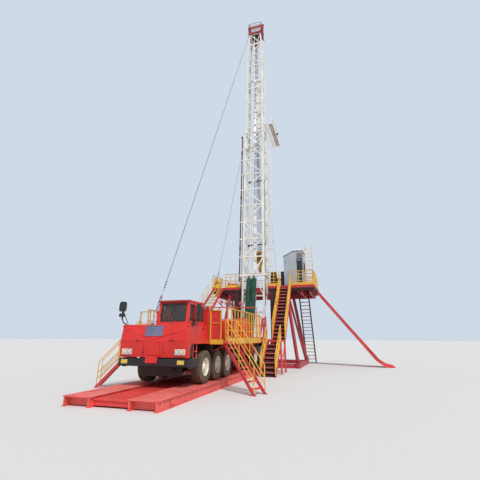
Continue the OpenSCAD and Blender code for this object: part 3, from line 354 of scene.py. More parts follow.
def clear_glass(name, colour, alpha=0.35):
    """Tinted window glass."""
    finish = painted(name, colour, 0.12, dust=0.12, wear=0.0)
    shader = finish.node_tree.nodes["Principled BSDF"]
    shader.inputs["Alpha"].default_value = alpha
    shader.inputs["Specular IOR Level"].default_value = 0.8
    return finish


def perforated(name, colour):
    """Punched sheet: rows of holes in paint, coloured near black as painted shade behind the sheet."""
    finish = painted(name, colour, 0.45)
    nodes, links = finish.node_tree.nodes, finish.node_tree.links
    shader = nodes["Principled BSDF"]
    where = nodes.new("ShaderNodeTexCoord").outputs["Object"]
    cells = add_node(nodes, "TexVoronoi", Scale=28, Randomness=0.0)
    links.new(where, cells.inputs["Vector"])
    hole = add_node(nodes, "MapRange", From_Min=0.24, From_Max=0.30)
    links.new(cells.outputs["Distance"], hole.inputs["Value"])
    old = shader.inputs["Base Color"].links[0].from_socket
    both = nodes.new("ShaderNodeMix")
    both.data_type = "RGBA"
    # The holes are near black: painted shade behind the sheet
    both.inputs[6].default_value = (0.05, 0.008, 0.008, 1)
    links.new(hole.outputs["Result"], both.inputs[0])
    links.new(old, both.inputs[7])
    links.new(both.outputs[2], shader.inputs["Base Color"])
    return finish


def make_finishes():
    """Every finish of the rig, by the record's slots and a few of the scene's own."""
    return {
        "mat": painted("mat_red", (0.84, 0.115, 0.095), 0.55, dust=0.45,
                       dust_colour=(0.80, 0.42, 0.36), wear=0.4, grime=0.2),
        "walkway": painted("walkway_red", (0.78, 0.045, 0.045), 0.5, dust=0.2, wear=0.2, grime=0.15),
        "chassis": painted("chassis_black", (0.028, 0.022, 0.018), 0.6, dust=0.3,
                           dust_colour=(0.16, 0.12, 0.08)),
        "bumper": painted("bumper_black", (0.009, 0.008, 0.008), 0.45, dust=0.08,
                          dust_colour=(0.12, 0.09, 0.07)),
        "truck": painted("truck_red", (0.72, 0.022, 0.018), 0.32, dust=0.12, wear=0.08, grime=0.14),
        "seat": painted("seat_black", (0.03, 0.03, 0.033), 0.8, dust=0.1),
        "glass": clear_glass("glass", (0.05, 0.06, 0.055), 0.45),
        "lens": painted("lamp_lens", (0.82, 0.83, 0.80), 0.12, dust=0.15, wear=0.0),
        "machine": painted("machine_grey", (0.13, 0.12, 0.11), 0.5, dust=0.35),
        "guard": painted("guard_red", (0.78, 0.05, 0.012), 0.42, dust=0.15),
        "yellow": painted("rail_yellow", (0.82, 0.46, 0.035), 0.42, dust=0.2, wear=0.35, grime=0.28),
        "stair": painted("stair_red", (0.70, 0.045, 0.05), 0.42, dust=0.25,
                         dust_colour=(0.62, 0.34, 0.30), wear=0.3),
        "floor": painted("floor_red", (0.52, 0.02, 0.028), 0.42, dust=0.2, wear=0.2),
        # Near-black red: painted shade for joists and edges under the floor, sheets behind the stair treads and
        # on the columns, and the crown's wedge plates
        "under": painted("near_black_painted_shade", (0.05, 0.007, 0.009), 0.6, dust=0.03),
        "dark_red": painted("dark_red", (0.10, 0.012, 0.012), 0.55, dust=0.2),
        "doghouse": painted("doghouse_blue", (0.42, 0.48, 0.53), 0.35, dust=0.15, wear=0.1, grime=0.15),
        "rope": metal("wire_rope", (0.14, 0.135, 0.13), 0.5),
        "white": painted("mast_white", (0.80, 0.79, 0.74), 0.42, dust=0.14,
                         dust_colour=(0.5, 0.42, 0.32), wear=0.3, grime=0.12),
        "chrome": metal("ram_chrome", (0.62, 0.62, 0.63), 0.18),
        "crown": painted("crown_red", (0.36, 0.02, 0.02), 0.45, dust=0.15, wear=0.3),
        "block": painted("block_yellow", (0.90, 0.52, 0.04), 0.42, dust=0.15, wear=0.3),
        "sleeve": painted("sleeve_green", (0.006, 0.085, 0.045), 0.62, dust=0.12,
                          dust_colour=(0.2, 0.2, 0.15), wear=0.0, scale=3),
        "tyre": painted("tyre", (0.105, 0.078, 0.052), 0.85, dust=0.75,
                        dust_colour=(0.27, 0.195, 0.125), wear=0.0, scale=2),
        # Darker than the stair red: painted shade under the drill floor darkens the frame's red
        "frame": painted("frame_red_painted_shade", (0.44, 0.028, 0.04), 0.5, dust=0.15, wear=0.15),
        "tread": painted("tread_pink", (0.62, 0.12, 0.12), 0.5, dust=0.45,
                         dust_colour=(0.72, 0.44, 0.40), wear=0.3),
        "cream": painted("ladder_cream", (0.80, 0.60, 0.33), 0.45, dust=0.25, wear=0.2),
        "vent": painted("vent_grey", (0.25, 0.21, 0.21), 0.5, dust=0.2, wear=0.1),
        "rim": painted("rim_cream", (0.82, 0.78, 0.66), 0.4, dust=0.25, wear=0.2, grime=0.2),
        "amber": painted("fog_amber", (0.85, 0.62, 0.06), 0.2, dust=0.1, wear=0.0),
        "plate": painted("plate_blue", (0.16, 0.17, 0.30), 0.4, dust=0.2, wear=0.1),
        "black": painted("trim_black", (0.014, 0.014, 0.014), 0.5, dust=0.12),
        "mesh": perforated("guard_mesh", (0.70, 0.03, 0.03)),
        "steel": metal("worn_steel", (0.36, 0.35, 0.33), 0.45),
        "timber": painted("board_timber", (0.42, 0.27, 0.15), 0.7, dust=0.3, wear=0.3),
    }


paint = make_finishes()

# Wheels


def tread_block(shape, a0, a1, turn, width, r0, r1, skew):
    """One block of tread between two places along the axle, starting at an angle."""
    points = []
    for r in (r0, r1):
        for a in (a0, a1):
            for t in (turn, turn + width):
                angle = t + skew * a
                points.append((a, r * math.cos(angle), r * math.sin(angle)))
    shape.add(points, BOX_FACES)


def make_tyre():
    """A tyre with ribbed walls and staggered tread blocks, about the X axis."""
    shape = Shape()
    wall = [(0.178, 0.325), (0.192, 0.35), (0.197, 0.40), (0.2, 0.45), (0.2, 0.50), (0.192, 0.545),
            (0.176, 0.578), (0.15, 0.594)]
    ring = [(-a, r) for a, r in wall] + [(a, r) for a, r in reversed(wall)]
    shape.turned((0, 0, 0), (1, 0, 0), ring, 72, closed=True)
    for r in (0.372, 0.512):
        for s in (-1, 1):
            shape.turned((0, 0, 0), (s, 0, 0), [(0.19, r - 0.012), (0.2, r - 0.006), (0.2, r + 0.006),
                                                (0.19, r + 0.012)], 72, closed=True)
    count = 40
    step = 2 * math.pi / count
    for k in range(count):
        for row, (a0, a1, share, shift) in enumerate(((-0.178, -0.118, 0.74, 0.0),
                                                      (-0.106, -0.042, 0.84, 0.5),
                                                      (-0.032, 0.032, 0.9, 0.15), (0.042, 0.106, 0.84, 0.5),
                                                      (0.118, 0.178, 0.74, 0.0))):
            skew = (0.35, -0.25, 0.0, 0.25, -0.35)[row]
            top = TYRE_R - (0.008 if row in (0, 4) else 0.0)
            tread_block(shape, a0, a1, (k + shift) * step, share * step, 0.575, top, skew)
    return shape


def make_rim(s):
    """A steel rim with its dished disc towards side s, hub, nuts and valve."""
    shape = Shape()
    out = (s, 0, 0)
    shape.turned((0, 0, 0), out, [(-0.19, 0.338), (-0.178, 0.312), (-0.12, 0.29), (0.13, 0.29),
                                  (0.17, 0.312), (0.19, 0.338), (0.176, 0.345), (-0.176, 0.345)],
                 48, closed=True)
    shape.turned((0, 0, 0), out, [(-0.02, 0.29), (0.03, 0.288), (0.07, 0.25), (0.098, 0.2), (0.1, 0.15),
                                  (0.118, 0.132), (0.152, 0.118), (0.17, 0.1), (0.176, 0.06),
                                  (0.176, 0.001)], 40)
    for k in range(10):
        turn = 2 * math.pi * k / 10
        nut = (s * 0.098, 0.175 * math.cos(turn), 0.175 * math.sin(turn))
        shape.turned(nut, out, [(-0.01, 0.017), (0.022, 0.017), (0.034, 0.009)], 6)
    for k in range(8):
        turn = 2 * math.pi * (k + 0.5) / 8
        shape.bolts([(s * 0.172, 0.082 * math.cos(turn), 0.082 * math.sin(turn))], out, 0.009, 0.012)
    shape.tube([(s * 0.08, 0, 0.27), (s * 0.12, 0, 0.262), (s * 0.15, 0, 0.268)], 0.006, 6)
    return shape


def make_rim_hole_shade(s):
    """Black discs at the rim's hand holes: painted shade in the openings."""
    shape = Shape()
    for k in range(8):
        turn = 2 * math.pi * (k + 0.25) / 8
        lean_out = Vector((s * 0.62, 0.78 * math.cos(turn), 0.78 * math.sin(turn)))
        centre = Vector((s * 0.081, 0.232 * math.cos(turn), 0.232 * math.sin(turn)))
        shape.turned(centre, lean_out, [(-0.01, 0.026), (0.004, 0.026), (0.005, 0.02)], 16)
    return shape


def wheels():
    for i, y in enumerate(AXLE_Y):
        for s, side in ((1, "l"), (-1, "r")):
            place = Matrix.Translation((s * TRACK_HALF, y, WHEEL_Z)) @ Matrix.Rotation(0.37 * i + s, 4, "X")
            body = f"wheel_{i + 1}{side}"
            for shape, name, finish, soft, stands in (
                    (make_tyre(), "tyre", "tyre", 0.0, (body,)),
                    (make_rim(s), "rim", "rim", 0.0, ()),
                    (make_rim_hole_shade(s), "rim_hole_shade", "black", 0.0, ())):
                turned = Shape(place)
                turned.add(shape.points, shape.faces)
                piece(turned, f"{name}_{i + 1}{side}", finish, body, soft, stands)


def running_gear():
    """Springs, hubs, tanks and lockers under the deck."""
    for node in ("chassis", "axles"):
        keep(node, "chassis")
    for i in range(STEERED):
        for side in "lr":
            keep(f"knuckle_{i + 1}{side}", "machine")
    springs = Shape()
    for y in AXLE_Y:
        for s in (-1, 1):
            for k in range(5):
                reach = 0.58 - 0.09 * k
                route = [(s * 0.43, y + reach * t, 0.985 - 0.022 * k - 0.05 * (1 - t * t))
                         for t in (-1, -0.5, 0, 0.5, 1)]
                for p, q in zip(route, route[1:]):
                    springs.bar(p, q, 0.09, 0.016)
            springs.block((s * 0.43 - 0.06, y - 0.07, 0.8), (s * 0.43 + 0.06, y + 0.07, 0.99))
            if y > -9:
                springs.turned((s * 0.93, y, WHEEL_Z), (s, 0, 0),
                               [(-0.08, 0.21), (0.06, 0.22), (0.08, 0.2)], 32)
    piece(springs, "leaf_springs", "chassis", bevel=0)
    tanks = Shape()
    for s in (-1, 1):
        tanks.turned((s * 1.02, -11.3, 1.12), (0, 1, 0),
                     [(0, 0.02), (0.02, 0.2), (0.06, 0.25), (0.94, 0.25), (0.98, 0.2), (1.0, 0.02)], 32)
        for y in (-11.05, -10.55):
            tanks.turned((s * 1.02, y, 1.12), (0, 1, 0), [(-0.02, 0.256), (0.02, 0.256)], 32)
        for y in (-16.0, -15.6):
            tanks.turned((s * 0.75, y, 1.32), (1, 0, 0),
                         [(-0.14, 0.02), (-0.12, 0.07), (0.12, 0.07), (0.14, 0.02)], 20)
    piece(tanks, "air_tanks", "machine", bevel=0)
    boxes = Shape()
    for s in (-1, 1):
        boxes.block((s * 1.2 - 0.24, -9.75, 1.3), (s * 1.2 + 0.24, -8.75, 1.72))
        for y in (-9.5, -9.0):
            boxes.block((s * 1.2 - 0.26, y - 0.02, 1.34), (s * 1.2 + 0.26, y + 0.02, 1.7))
    piece(boxes, "side_lockers", "truck", bevel=0.012)


def levelling_jacks():
    """Hydraulic jacks with their sleeves, feet and hoses."""
    jacks, hoses = Shape(), Shape()
    for y in (-10.2, -8.6, -3.1):
        for s in (-1, 1):
            x = s * 1.56
            jacks.turned((x, y, 0), (0, 0, 1),
                         [(1.12, 0.104), (1.12, 0.112), (1.72, 0.112), (1.72, 0.06), (1.74, 0.06)], 28)
            jacks.turned((x, y, MAT_Z), (0, 0, 1),
                         [(0.0, 0.16), (0.02, 0.16), (0.05, 0.12), (0.12, 0.08), (0.14, 0.064)], 28)
            jacks.block((x - 0.13, y - 0.1, 1.14), (x + 0.13, y + 0.1, 1.2))
            route = [(s * 1.47, y + 0.12, 1.66), (s * 1.36, y + 0.16, 1.5), (s * 1.1, y + 0.15, 1.3),
                     (s * 0.6, y + 0.13, 1.4)]
            hoses.tube(route, 0.014, 8)
    piece(jacks, "jack_sleeves", "stair")
    piece(hoses, "jack_hoses", "black", bevel=0)


# Base mat


def base_mat():
    """Two long skids with cross ribs, a sunk walkway between them, and lifting lugs."""
    y0, y1 = -18.9, -2.7
    walk_half = 0.655
    pitch = 1.29
    mat = Shape()
    for s in (-1, 1):
        inner, outer = s * walk_half, s * 1.695
        low, high = min(inner, outer), max(inner, outer)
        mat.block((low, y0, MAT_Z - 0.03), (high, y1, MAT_Z - 0.012))
        for x in (s * 0.72, s * 1.63):
            mat.block((x - 0.065, y0, 0.0), (x + 0.065, y0 + 16.2, 0.02))
            mat.block((x - 0.02, y0, 0.02), (x + 0.02, y1, MAT_Z - 0.04))
            mat.block((x - 0.065, y0, MAT_Z - 0.04), (x + 0.065, y1, MAT_Z))
        ribs = 38
        for k in range(ribs):
            y = y0 + 0.2 + k * (y1 - y0 - 0.4) / (ribs - 1)
            mat.block((low + 0.12, y - 0.035, MAT_Z - 0.014), (high - 0.12, y + 0.035, MAT_Z - 0.001))
        for k in range(13):
            y = y0 + 0.2 + k * pitch
            mat.block((s * 1.175 - 0.5, y, 0.03), (s * 1.175 + 0.5, y + 0.1, MAT_Z - 0.03))
        for y in (y0 + 0.9, -13.0, -7.5, -3.4):
            mat.block((s * 1.66, y - 0.12, 0.1), (s * 1.70, y + 0.12, 0.22))
    piece(mat, "mat_skids", "mat", bevel=0.005, replaces=("base_mat",))
    walk = Shape()
    walk.block((-walk_half, y0 + 0.15, 0.2), (walk_half, y1, 0.245))
    for k in range(9):
        x = -0.58 + k * 0.145
        walk.block((x - 0.012, y0 + 0.2, 0.245), (x + 0.012, y1, 0.258))
    for k in range(13):
        y = y0 + 0.2 + k * pitch
        walk.block((-0.66, y, 0.05), (0.66, y + 0.1, 0.2))
    piece(walk, "mat_walkway", "walkway")


# Nose and bumper


def fascia_depth(x, z):
    """How far the front panel stands behind FRONT_Y, with the V crease and the slope of its two parts."""
    lean_back = 0.11 * max(0.0, (z - 1.87) / 0.6) ** 1.3 if z > 1.87 else 0.09 * (1.87 - z) / 0.55
    valley = 1.96 + 0.31 * abs(x) / 1.2
    crease = 0.03 * max(0.0, 1 - abs(z - valley) / 0.035) if z > 1.9 and abs(x) < 1.3 else 0.0
    above = 0.028 if z > valley and abs(x) < 1.32 and z > 1.9 else 0.0
    return max(0.0, lean_back) + 0.035 - max(crease, above)


def fascia():
    """The front panel: a sheet with a V crease, turned in at its sides."""
    shape = Shape()
    xs = [-1.45, -1.44, -1.42, 1.42, 1.44, 1.45] + [-1.4 + 0.035 * k for k in range(81)]
    xs = sorted(xs + [-0.446, -0.434, 0.254, 0.266])
    zs = [1.32, 1.33] + [1.35 + 0.03 * k for k in range(17)] + [1.858, 1.862, 1.868, 1.872]
    zs += [1.9 + 0.0145 * k for k in range(38)] + [2.45]
    rows = []
    for z in zs:
        row = []
        for x in xs:
            turn_in = max(0.0, abs(x) - 1.40) * 0.9
            upright = min(abs(x + 0.44), abs(x - 0.26)) < 0.008 and z < 1.862
            seam = 0.014 if 1.861 < z < 1.869 or upright else 0.0
            row.append((x, FRONT_Y + fascia_depth(x, z) + turn_in + seam, z))
        rows.append(row)
    width = len(xs)
    points = [p for row in rows for p in row]
    count = len(points)
    points += [(x * 0.98, FRONT_Y + 0.3, z) for x, _, z in points]
    faces = []
    for r in range(len(zs) - 1):
        for c in range(width - 1):
            k = r * width + c
            faces.append((k, k + 1, k + width + 1, k + width))
    edge = list(range(width)) + [r * width + width - 1 for r in range(1, len(zs))]
    edge += [(len(zs) - 1) * width + c for c in range(width - 2, -1, -1)]
    edge += [r * width for r in range(len(zs) - 2, 0, -1)]
    for k, a in enumerate(edge):
        b = edge[(k + 1) % len(edge)]
        faces.append((a, b, b + count, a + count))
    used = sorted({k for face in faces for k in face})
    fresh = {old: new for new, old in enumerate(used)}
    shape.add([points[k] for k in used], [[fresh[k] for k in face] for face in faces])
    return shape


def nose():
    front = fascia()
    piece(front, "front_panel", "truck", bevel=0, replaces=("nose",), smooth=50)
    # Flanks over the wheel arches, and the dark belly behind the front panel
    top = 2.46
    arch = [(0.04, 1.32), (0.32, 1.8), (CAB_Y1 - FRONT_Y, 1.8)]
    flanks, belly = Shape(), Shape()
    for s in (-1, 1):
        flanks.prism([(FRONT_Y + 0.09, 1.4), (FRONT_Y + 0.05, 1.85), (FRONT_Y + 0.15, 2.43),
                      (FRONT_Y + 0.2, top), (CAB_Y1, top), (CAB_Y1, 1.8), (FRONT_Y + 0.32, 1.8)], s * 1.41,
                     s * (BODY_HALF + 0.003))
        for (a, low_a), (b, low_b) in zip(arch, arch[1:]):
            flanks.bar((s * 1.42, FRONT_Y + a, low_a), (s * 1.42, FRONT_Y + b, low_b), 0.06, 0.02)
    piece(flanks, "nose_flanks", "truck", bevel=0)
    belly.block((-1.4, FRONT_Y + 0.33, 1.34), (1.4, FRONT_Y + 0.6, 1.78))
    belly.block((-0.8, FRONT_Y + 0.6, 1.3), (0.8, -15.75, 1.78))
    for y0, y1, half, low in ((-16.2, -15.5, 0.6, 0.84), (-15.15, -14.6, 0.5, 0.72),
                              (-14.4, -13.7, 0.42, 0.78), (-13.2, -12.4, 0.5, 0.7),
                              (-11.9, -10.9, 0.45, 0.72), (-10.3, -8.9, 0.4, 0.78)):
        belly.block((-half, y0, low), (half, y1, 1.24))
        belly.turned((0, y1, 0.95), (0, 1, 0), [(0, 0.14), (0.08, 0.14), (0.1, 0.06), (0.5, 0.06)], 20)
    # A black plate behind the bumper: painted shade under the truck's front
    belly.block((-0.9, -15.95, 0.62), (0.9, -15.9, 1.3))
    piece(belly, "belly_parts", "chassis", bevel=0.012)
    step = Shape()
    for s in (-1, 1):
        for y in (-16.06, -15.76):
            step.bar((s * 1.38, y, 1.22), (s * 1.38, y, 1.82), 0.05, 0.03)
        for z in (1.26, 1.52):
            step.block((s * 1.38 - 0.05, -16.06, z - 0.015), (s * 1.38 + 0.05, -15.76, z + 0.015))
    piece(step, "nose_steps", "stair", bevel=0.003)
    body = Shape()
    # Top sheet with its raised edge, in two parts beside the cab
    body.block((-BODY_HALF, FRONT_Y + 0.17, 2.44), (BODY_HALF, CAB_Y0 - 0.006, 2.47))
    body.block((-BODY_HALF, CAB_Y0 - 0.006, 2.44), (CAB_X0 - 0.008, CAB_Y1, 2.47))
    body.prism([(FRONT_Y + 0.1, 2.40), (FRONT_Y + 0.1, 2.45), (FRONT_Y + 0.13, 2.482),
                (FRONT_Y + 0.22, 2.49), (FRONT_Y + 0.26, 2.48), (FRONT_Y + 0.26, 2.40)],
               -BODY_HALF, BODY_HALF)
    body.block((-1.43, CAB_Y1 - 0.04, 1.8), (1.43, CAB_Y1, 2.3))
    # Hatch on top with its two handles
    body.block((-1.25, FRONT_Y + 0.4, 2.47), (-0.25, CAB_Y1 - 0.25, 2.482))
    for x in (-1.1, -0.4):
        body.bar((x, FRONT_Y + 0.5, 2.49), (x, FRONT_Y + 0.7, 2.49), 0.02, 0.014)
    # The towing tongue's plate and bolts
    body.block((-0.28, FRONT_Y + 0.025, 1.13), (0.22, FRONT_Y + 0.055, 1.36))
    body.bolts([(x, FRONT_Y + 0.03, z) for x in (-0.24, 0.18) for z in (1.17, 1.3)], (0, -1, 0))
    piece(body, "nose_body", "truck", bevel=0.008, segments=2)
    marks = Shape()
    for x in (-0.68, 0.76):
        marks.block((x - 0.09, FRONT_Y + 0.02, 1.9), (x + 0.09, FRONT_Y + 0.05, 1.925))
    for x, z in ((-0.42, 1.55), (-0.42, 1.48), (0.42, 1.75), (0.42, 1.55), (0.42, 1.48), (-0.7, 1.78)):
        marks.turned((x, FRONT_Y + 0.09, z), (0, -1, 0), [(0, 0.012), (0.05, 0.012), (0.056, 0.006)], 10)
    piece(marks, "front_slots", "black", bevel=0)
    plate = Shape()
    plate.bar((0.0, FRONT_Y + 0.03, 2.075), (0.0, FRONT_Y + 0.085, 2.44), 0.76, 0.02)
    piece(plate, "blank_plate", "plate", bevel=0.006, segments=2)
    rim = Shape()
    for x in (-0.375, 0.375):
        rim.bar((x, FRONT_Y + 0.018, 2.07), (x, FRONT_Y + 0.073, 2.445), 0.012, 0.02)
    for z, y in ((2.075, 0.018), (2.44, 0.073)):
        rim.bar((-0.38, FRONT_Y + y, z), (0.38, FRONT_Y + y, z), 0.02, 0.012)
    piece(rim, "plate_edge", "steel", bevel=0)


def bumper():
    beam = Shape()
    beam.prism([(FRONT_Y + 0.06, 1.03), (FRONT_Y + 0.06, 1.25), (FRONT_Y + 0.09, 1.285),
                (FRONT_Y + 0.3, 1.285), (FRONT_Y + 0.3, 1.01), (FRONT_Y + 0.08, 1.01)], -BODY_HALF, BODY_HALF)
    for s in (-1, 1):
        beam.prism([(FRONT_Y + 0.29, 0.97), (FRONT_Y + 0.29, 1.27), (FRONT_Y + 1.06, 1.27),
                    (FRONT_Y + 1.06, 1.2), (FRONT_Y + 1.0, 0.99)], s * 1.30, s * BODY_HALF)
        beam.block((s * 0.43 - 0.06, FRONT_Y + 0.29, 1.03), (s * 0.43 + 0.06, FRONT_Y + 0.42, 1.27))
        beam.block((s * 1.1 - 0.35, FRONT_Y + 0.3, 1.0), (s * 1.1 + 0.3, FRONT_Y + 0.75, 1.03))
    piece(beam, "bumper_beam", "bumper", bevel=0.012, replaces=("bumper",), segments=2)
    step = Shape()
    for s in (-1, 1):
        for k in range(7):
            y = FRONT_Y + 0.36 + k * 0.1
            step.bar((s * 1.305, y, 1.278), (s * 1.445, y + 0.02, 1.278), 0.012, 0.016)
    piece(step, "bumper_grips", "machine", bevel=0)


def front_lamps():
    """Headlamp units with two round lenses and an amber corner, and yellow fog lamps."""
    z0, z1 = 1.41, 1.61
    middle_z = 1.51
    shells, lenses, rings, amber = Shape(), Shape(), Shape(), Shape()
    for s in (-1, 1):
        x0, x1 = s * 1.12 - 0.21, s * 1.12 + 0.21
        shells.block((x0, FRONT_Y + 0.02, z0), (x1, FRONT_Y + 0.1, z1))
        for k in (-1, 1):
            x = s * 1.10 + k * 0.088 - s * 0.015
            rings.turned((x, FRONT_Y + 0.03, middle_z), (0, -1, 0),
                         [(-0.01, 0.082), (0.014, 0.082), (0.018, 0.074), (0.002, 0.068)], 32)
            lenses.turned((x, FRONT_Y + 0.032, middle_z), (0, -1, 0),
                          [(0, 0.068), (0.012, 0.066), (0.02, 0.05), (0.026, 0.02), (0.027, 0.001)], 28)
        corner = s * 1.12 + s * 0.178
        amber.block((corner - 0.026, FRONT_Y + 0.012, z0 + 0.03), (corner + 0.026, FRONT_Y + 0.03, z1 - 0.03))
        fog = s * 1.18
        rings.block((fog - 0.145, FRONT_Y + 0.036, 1.09), (fog + 0.145, FRONT_Y + 0.06, 1.245))
        amber.block((fog - 0.13, FRONT_Y + 0.022, 1.105), (fog + 0.13, FRONT_Y + 0.04, 1.23))
    piece(shells, "headlamp_shells", "lens", bevel=0.014, replaces=("lamps",), segments=3)
    piece(rings, "lamp_rings", "steel", bevel=0)
    piece(lenses, "headlamp_lenses", "lens", bevel=0)
    piece(amber, "amber_lenses", "amber")


# Cab


def frame_of(shape, corners, size):
    """Bars around a window's four corners."""
    for p, q in zip(corners, corners[1:] + corners[:1]):
        shape.bar(p, q, size, size)


def window(shape, low, high, size):
    """Bars around an upright window between two opposite corners."""
    (x0, y0, z0), (x1, y1, z1) = low, high
    frame_of(shape, [(x0, y0, z0), (x1, y1, z0), (x1, y1, z1), (x0, y0, z1)], size)


def cab():
    keep("cab", "truck", 0.012)
    keep("cab_seat", "seat")
    keep("glazing", "glass", 0)
    keep("door_glass", "glass", 0)
    keep("cab_door", "truck", 0.008)
    seals = Shape()
    sill = 2.54
    slope = 0.09 / (CAB_TOP - 0.04 - sill)

    def screen(x, z, ahead=0.006):
        return (x, CAB_Y0 + (z - sill) * slope - ahead, z)

    frame_of(seals, [screen(0.15, 2.61), screen(1.19, 2.61), screen(1.19, 3.26), screen(0.15, 3.26)], 0.028)
    right = CAB_X0 - 0.002
    window(seals, (right, CAB_Y0 + 0.3, 2.66), (right, CAB_Y1 - 0.25, 3.19), 0.026)
    left = CAB_X1 + 0.002
    window(seals, (left, CAB_Y0 + 0.2, 2.64), (left, CAB_Y0 + 0.49, 3.23), 0.022)
    back = CAB_Y1 + 0.002
    window(seals, (CAB_X0 + 0.3, back, 2.71), (CAB_X1 - 0.3, back, 3.19), 0.022)
    piece(seals, "window_seals", "black", bevel=0.003)
    door = Shape()
    face = CAB_X1 + 0.047
    window(door, (face, CAB_Y0 + 0.65, 2.64), (face, CAB_Y1 - 0.15, 3.19), 0.02)
    door.tube([(face, CAB_Y0 + 0.64, 2.5), (face + 0.035, CAB_Y0 + 0.64, 2.5),
               (face + 0.035, CAB_Y0 + 0.78, 2.5), (face, CAB_Y0 + 0.78, 2.5)], 0.009, 8)
    piece(door, "door_seal_and_handle", "black", "cab_door", 0.002)
    wipers = Shape()
    for x in (0.42, 0.9):
        foot, tip = Vector(screen(x, 2.6, 0.03)), Vector(screen(x - 0.27, 2.98, 0.03))
        wipers.tube([foot + Vector((0, 0.02, -0.03)), foot, tip], 0.008, 6)
        wipers.bar(tip + Vector((-0.06, 0.01, -0.2)), tip + Vector((0.05, 0.012, 0.18)), 0.012, 0.02)
    piece(wipers, "wipers", "black", bevel=0)
    visor = Shape()
    visor.prism([(CAB_Y0 + 0.01, CAB_TOP - 0.075), (CAB_Y0 - 0.03, CAB_TOP - 0.06),
                 (CAB_Y0, CAB_TOP - 0.012), (CAB_Y0 + 0.23, CAB_TOP)], CAB_X0 - 0.03, CAB_X1 + 0.03)
    piece(visor, "cab_visor", "crown", bevel=0.006, segments=2)
    trim = Shape()
    eave = CAB_TOP - 0.03
    for x in (CAB_X0 - 0.02, CAB_X1 + 0.02):
        trim.bar((x, CAB_Y0 + 0.16, eave), (x, CAB_Y1 + 0.01, eave), 0.03, 0.03)
    trim.bar((CAB_X0 - 0.02, CAB_Y1 + 0.012, eave), (CAB_X1 + 0.02, CAB_Y1 + 0.012, eave), 0.03, 0.03)
    for y in (CAB_Y0 + 0.53, CAB_Y1 - 0.04):
        trim.bar((CAB_X1 + 0.008, y, 2.2), (CAB_X1 + 0.008, y, 3.31), 0.018, 0.016)
    # A raised panel on the left flank
    trim.block((BODY_HALF - 0.004, -15.75, 1.95), (BODY_HALF + 0.006, -15.2, 2.4))
    piece(trim, "cab_trim", "truck", bevel=0.006, segments=2)
    caps = Shape()
    for y, z, r in ((-15.35, 2.36, 0.045), (-16.36, 2.53, 0.05)):
        caps.turned((BODY_HALF, y, z), (1, 0, 0), [(-0.02, r), (0.03, r), (0.036, r * 0.8)], 24)
    caps.tube([(1.39, CAB_Y0 + 0.25, 2.49), (1.39, CAB_Y0 + 0.25, 2.62),
               (1.36, CAB_Y0 + 0.2, 2.72)], 0.012, 8)
    caps.turned((0.62, FRONT_Y + 0.2, 2.52), (0, 0, 1), [(-0.04, 0.03), (0.03, 0.03), (0.05, 0.015)], 16)
    piece(caps, "filler_caps", "black", bevel=0)
    grabs = Shape()
    for y in (CAB_Y0 + 0.5, CAB_Y1 - 0.02):
        grabs.tube([(CAB_X1 + 0.01, y, 2.62), (CAB_X1 + 0.075, y, 2.64), (CAB_X1 + 0.075, y, 3.16),
                    (CAB_X1 + 0.01, y, 3.18)], 0.012, 8)
    piece(grabs, "grab_bars", "black", bevel=0)


def mirrors():
    """A tall head over a small one on a bent arm, at each side."""
    glassy, arms = Shape(), Shape()
    right = (-1.60, -1.29, FRONT_Y - 0.06, 2.97, 3.36, (-1.405, FRONT_Y + 0.24, 2.5))
    left = (1.57, 1.77, CAB_Y0 + 0.17, 2.87, 3.24, (1.43, CAB_Y0 + 0.1, 2.42))
    for x0, x1, y, z0, z1, joint in (right, left):
        middle = (x0 + x1) / 2
        for low, high, share in ((z0, z1, 1.0), (z0 - 0.2, z0 - 0.06, 0.8)):
            centre = (low + high) / 2
            profile = []
            for k in range(16):
                turn = 2 * math.pi * k / 16
                side = math.copysign(abs(math.cos(turn)) ** 0.5, math.cos(turn))
                tall = math.copysign(abs(math.sin(turn)) ** 0.5, math.sin(turn))
                profile.append((middle + share * (x1 - x0) / 2 * side, centre + (high - low) / 2 * tall))
            arms.prism(profile, y - 0.03, y + 0.03, "y")
            glassy.prism([(middle + (a - middle) * 0.88, centre + (b - centre) * 0.9) for a, b in profile],
                         y + 0.03, y + 0.037, "y")
        knee = (joint[0] + (middle - joint[0]) * 0.7, joint[1] + (y - joint[1]) * 0.6, joint[2] + 0.06)
        arms.tube([joint, knee, (middle, y + 0.04, z0 - 0.25), (middle, y + 0.04, z1 - 0.06)], 0.021, 10)
        arms.tube([(joint[0], joint[1] + 0.12, joint[2]), (middle, y + 0.05, z0 + 0.04)], 0.013, 8)
        for z in (z0 - 0.25, z0 - 0.03):
            arms.turned((middle, y + 0.03, z), (0, 0, 1), [(-0.03, 0.036), (0.03, 0.036), (0.035, 0.02)], 14)
        arms.turned(joint, (0, 0, 1), [(-0.06, 0.05), (-0.01, 0.045), (0.02, 0.02)], 16)
    piece(arms, "mirror_arms", "black", bevel=0, replaces=("mirrors",))
    piece(glassy, "mirror_faces", "chrome", bevel=0)


# Deck, power pack and drawworks


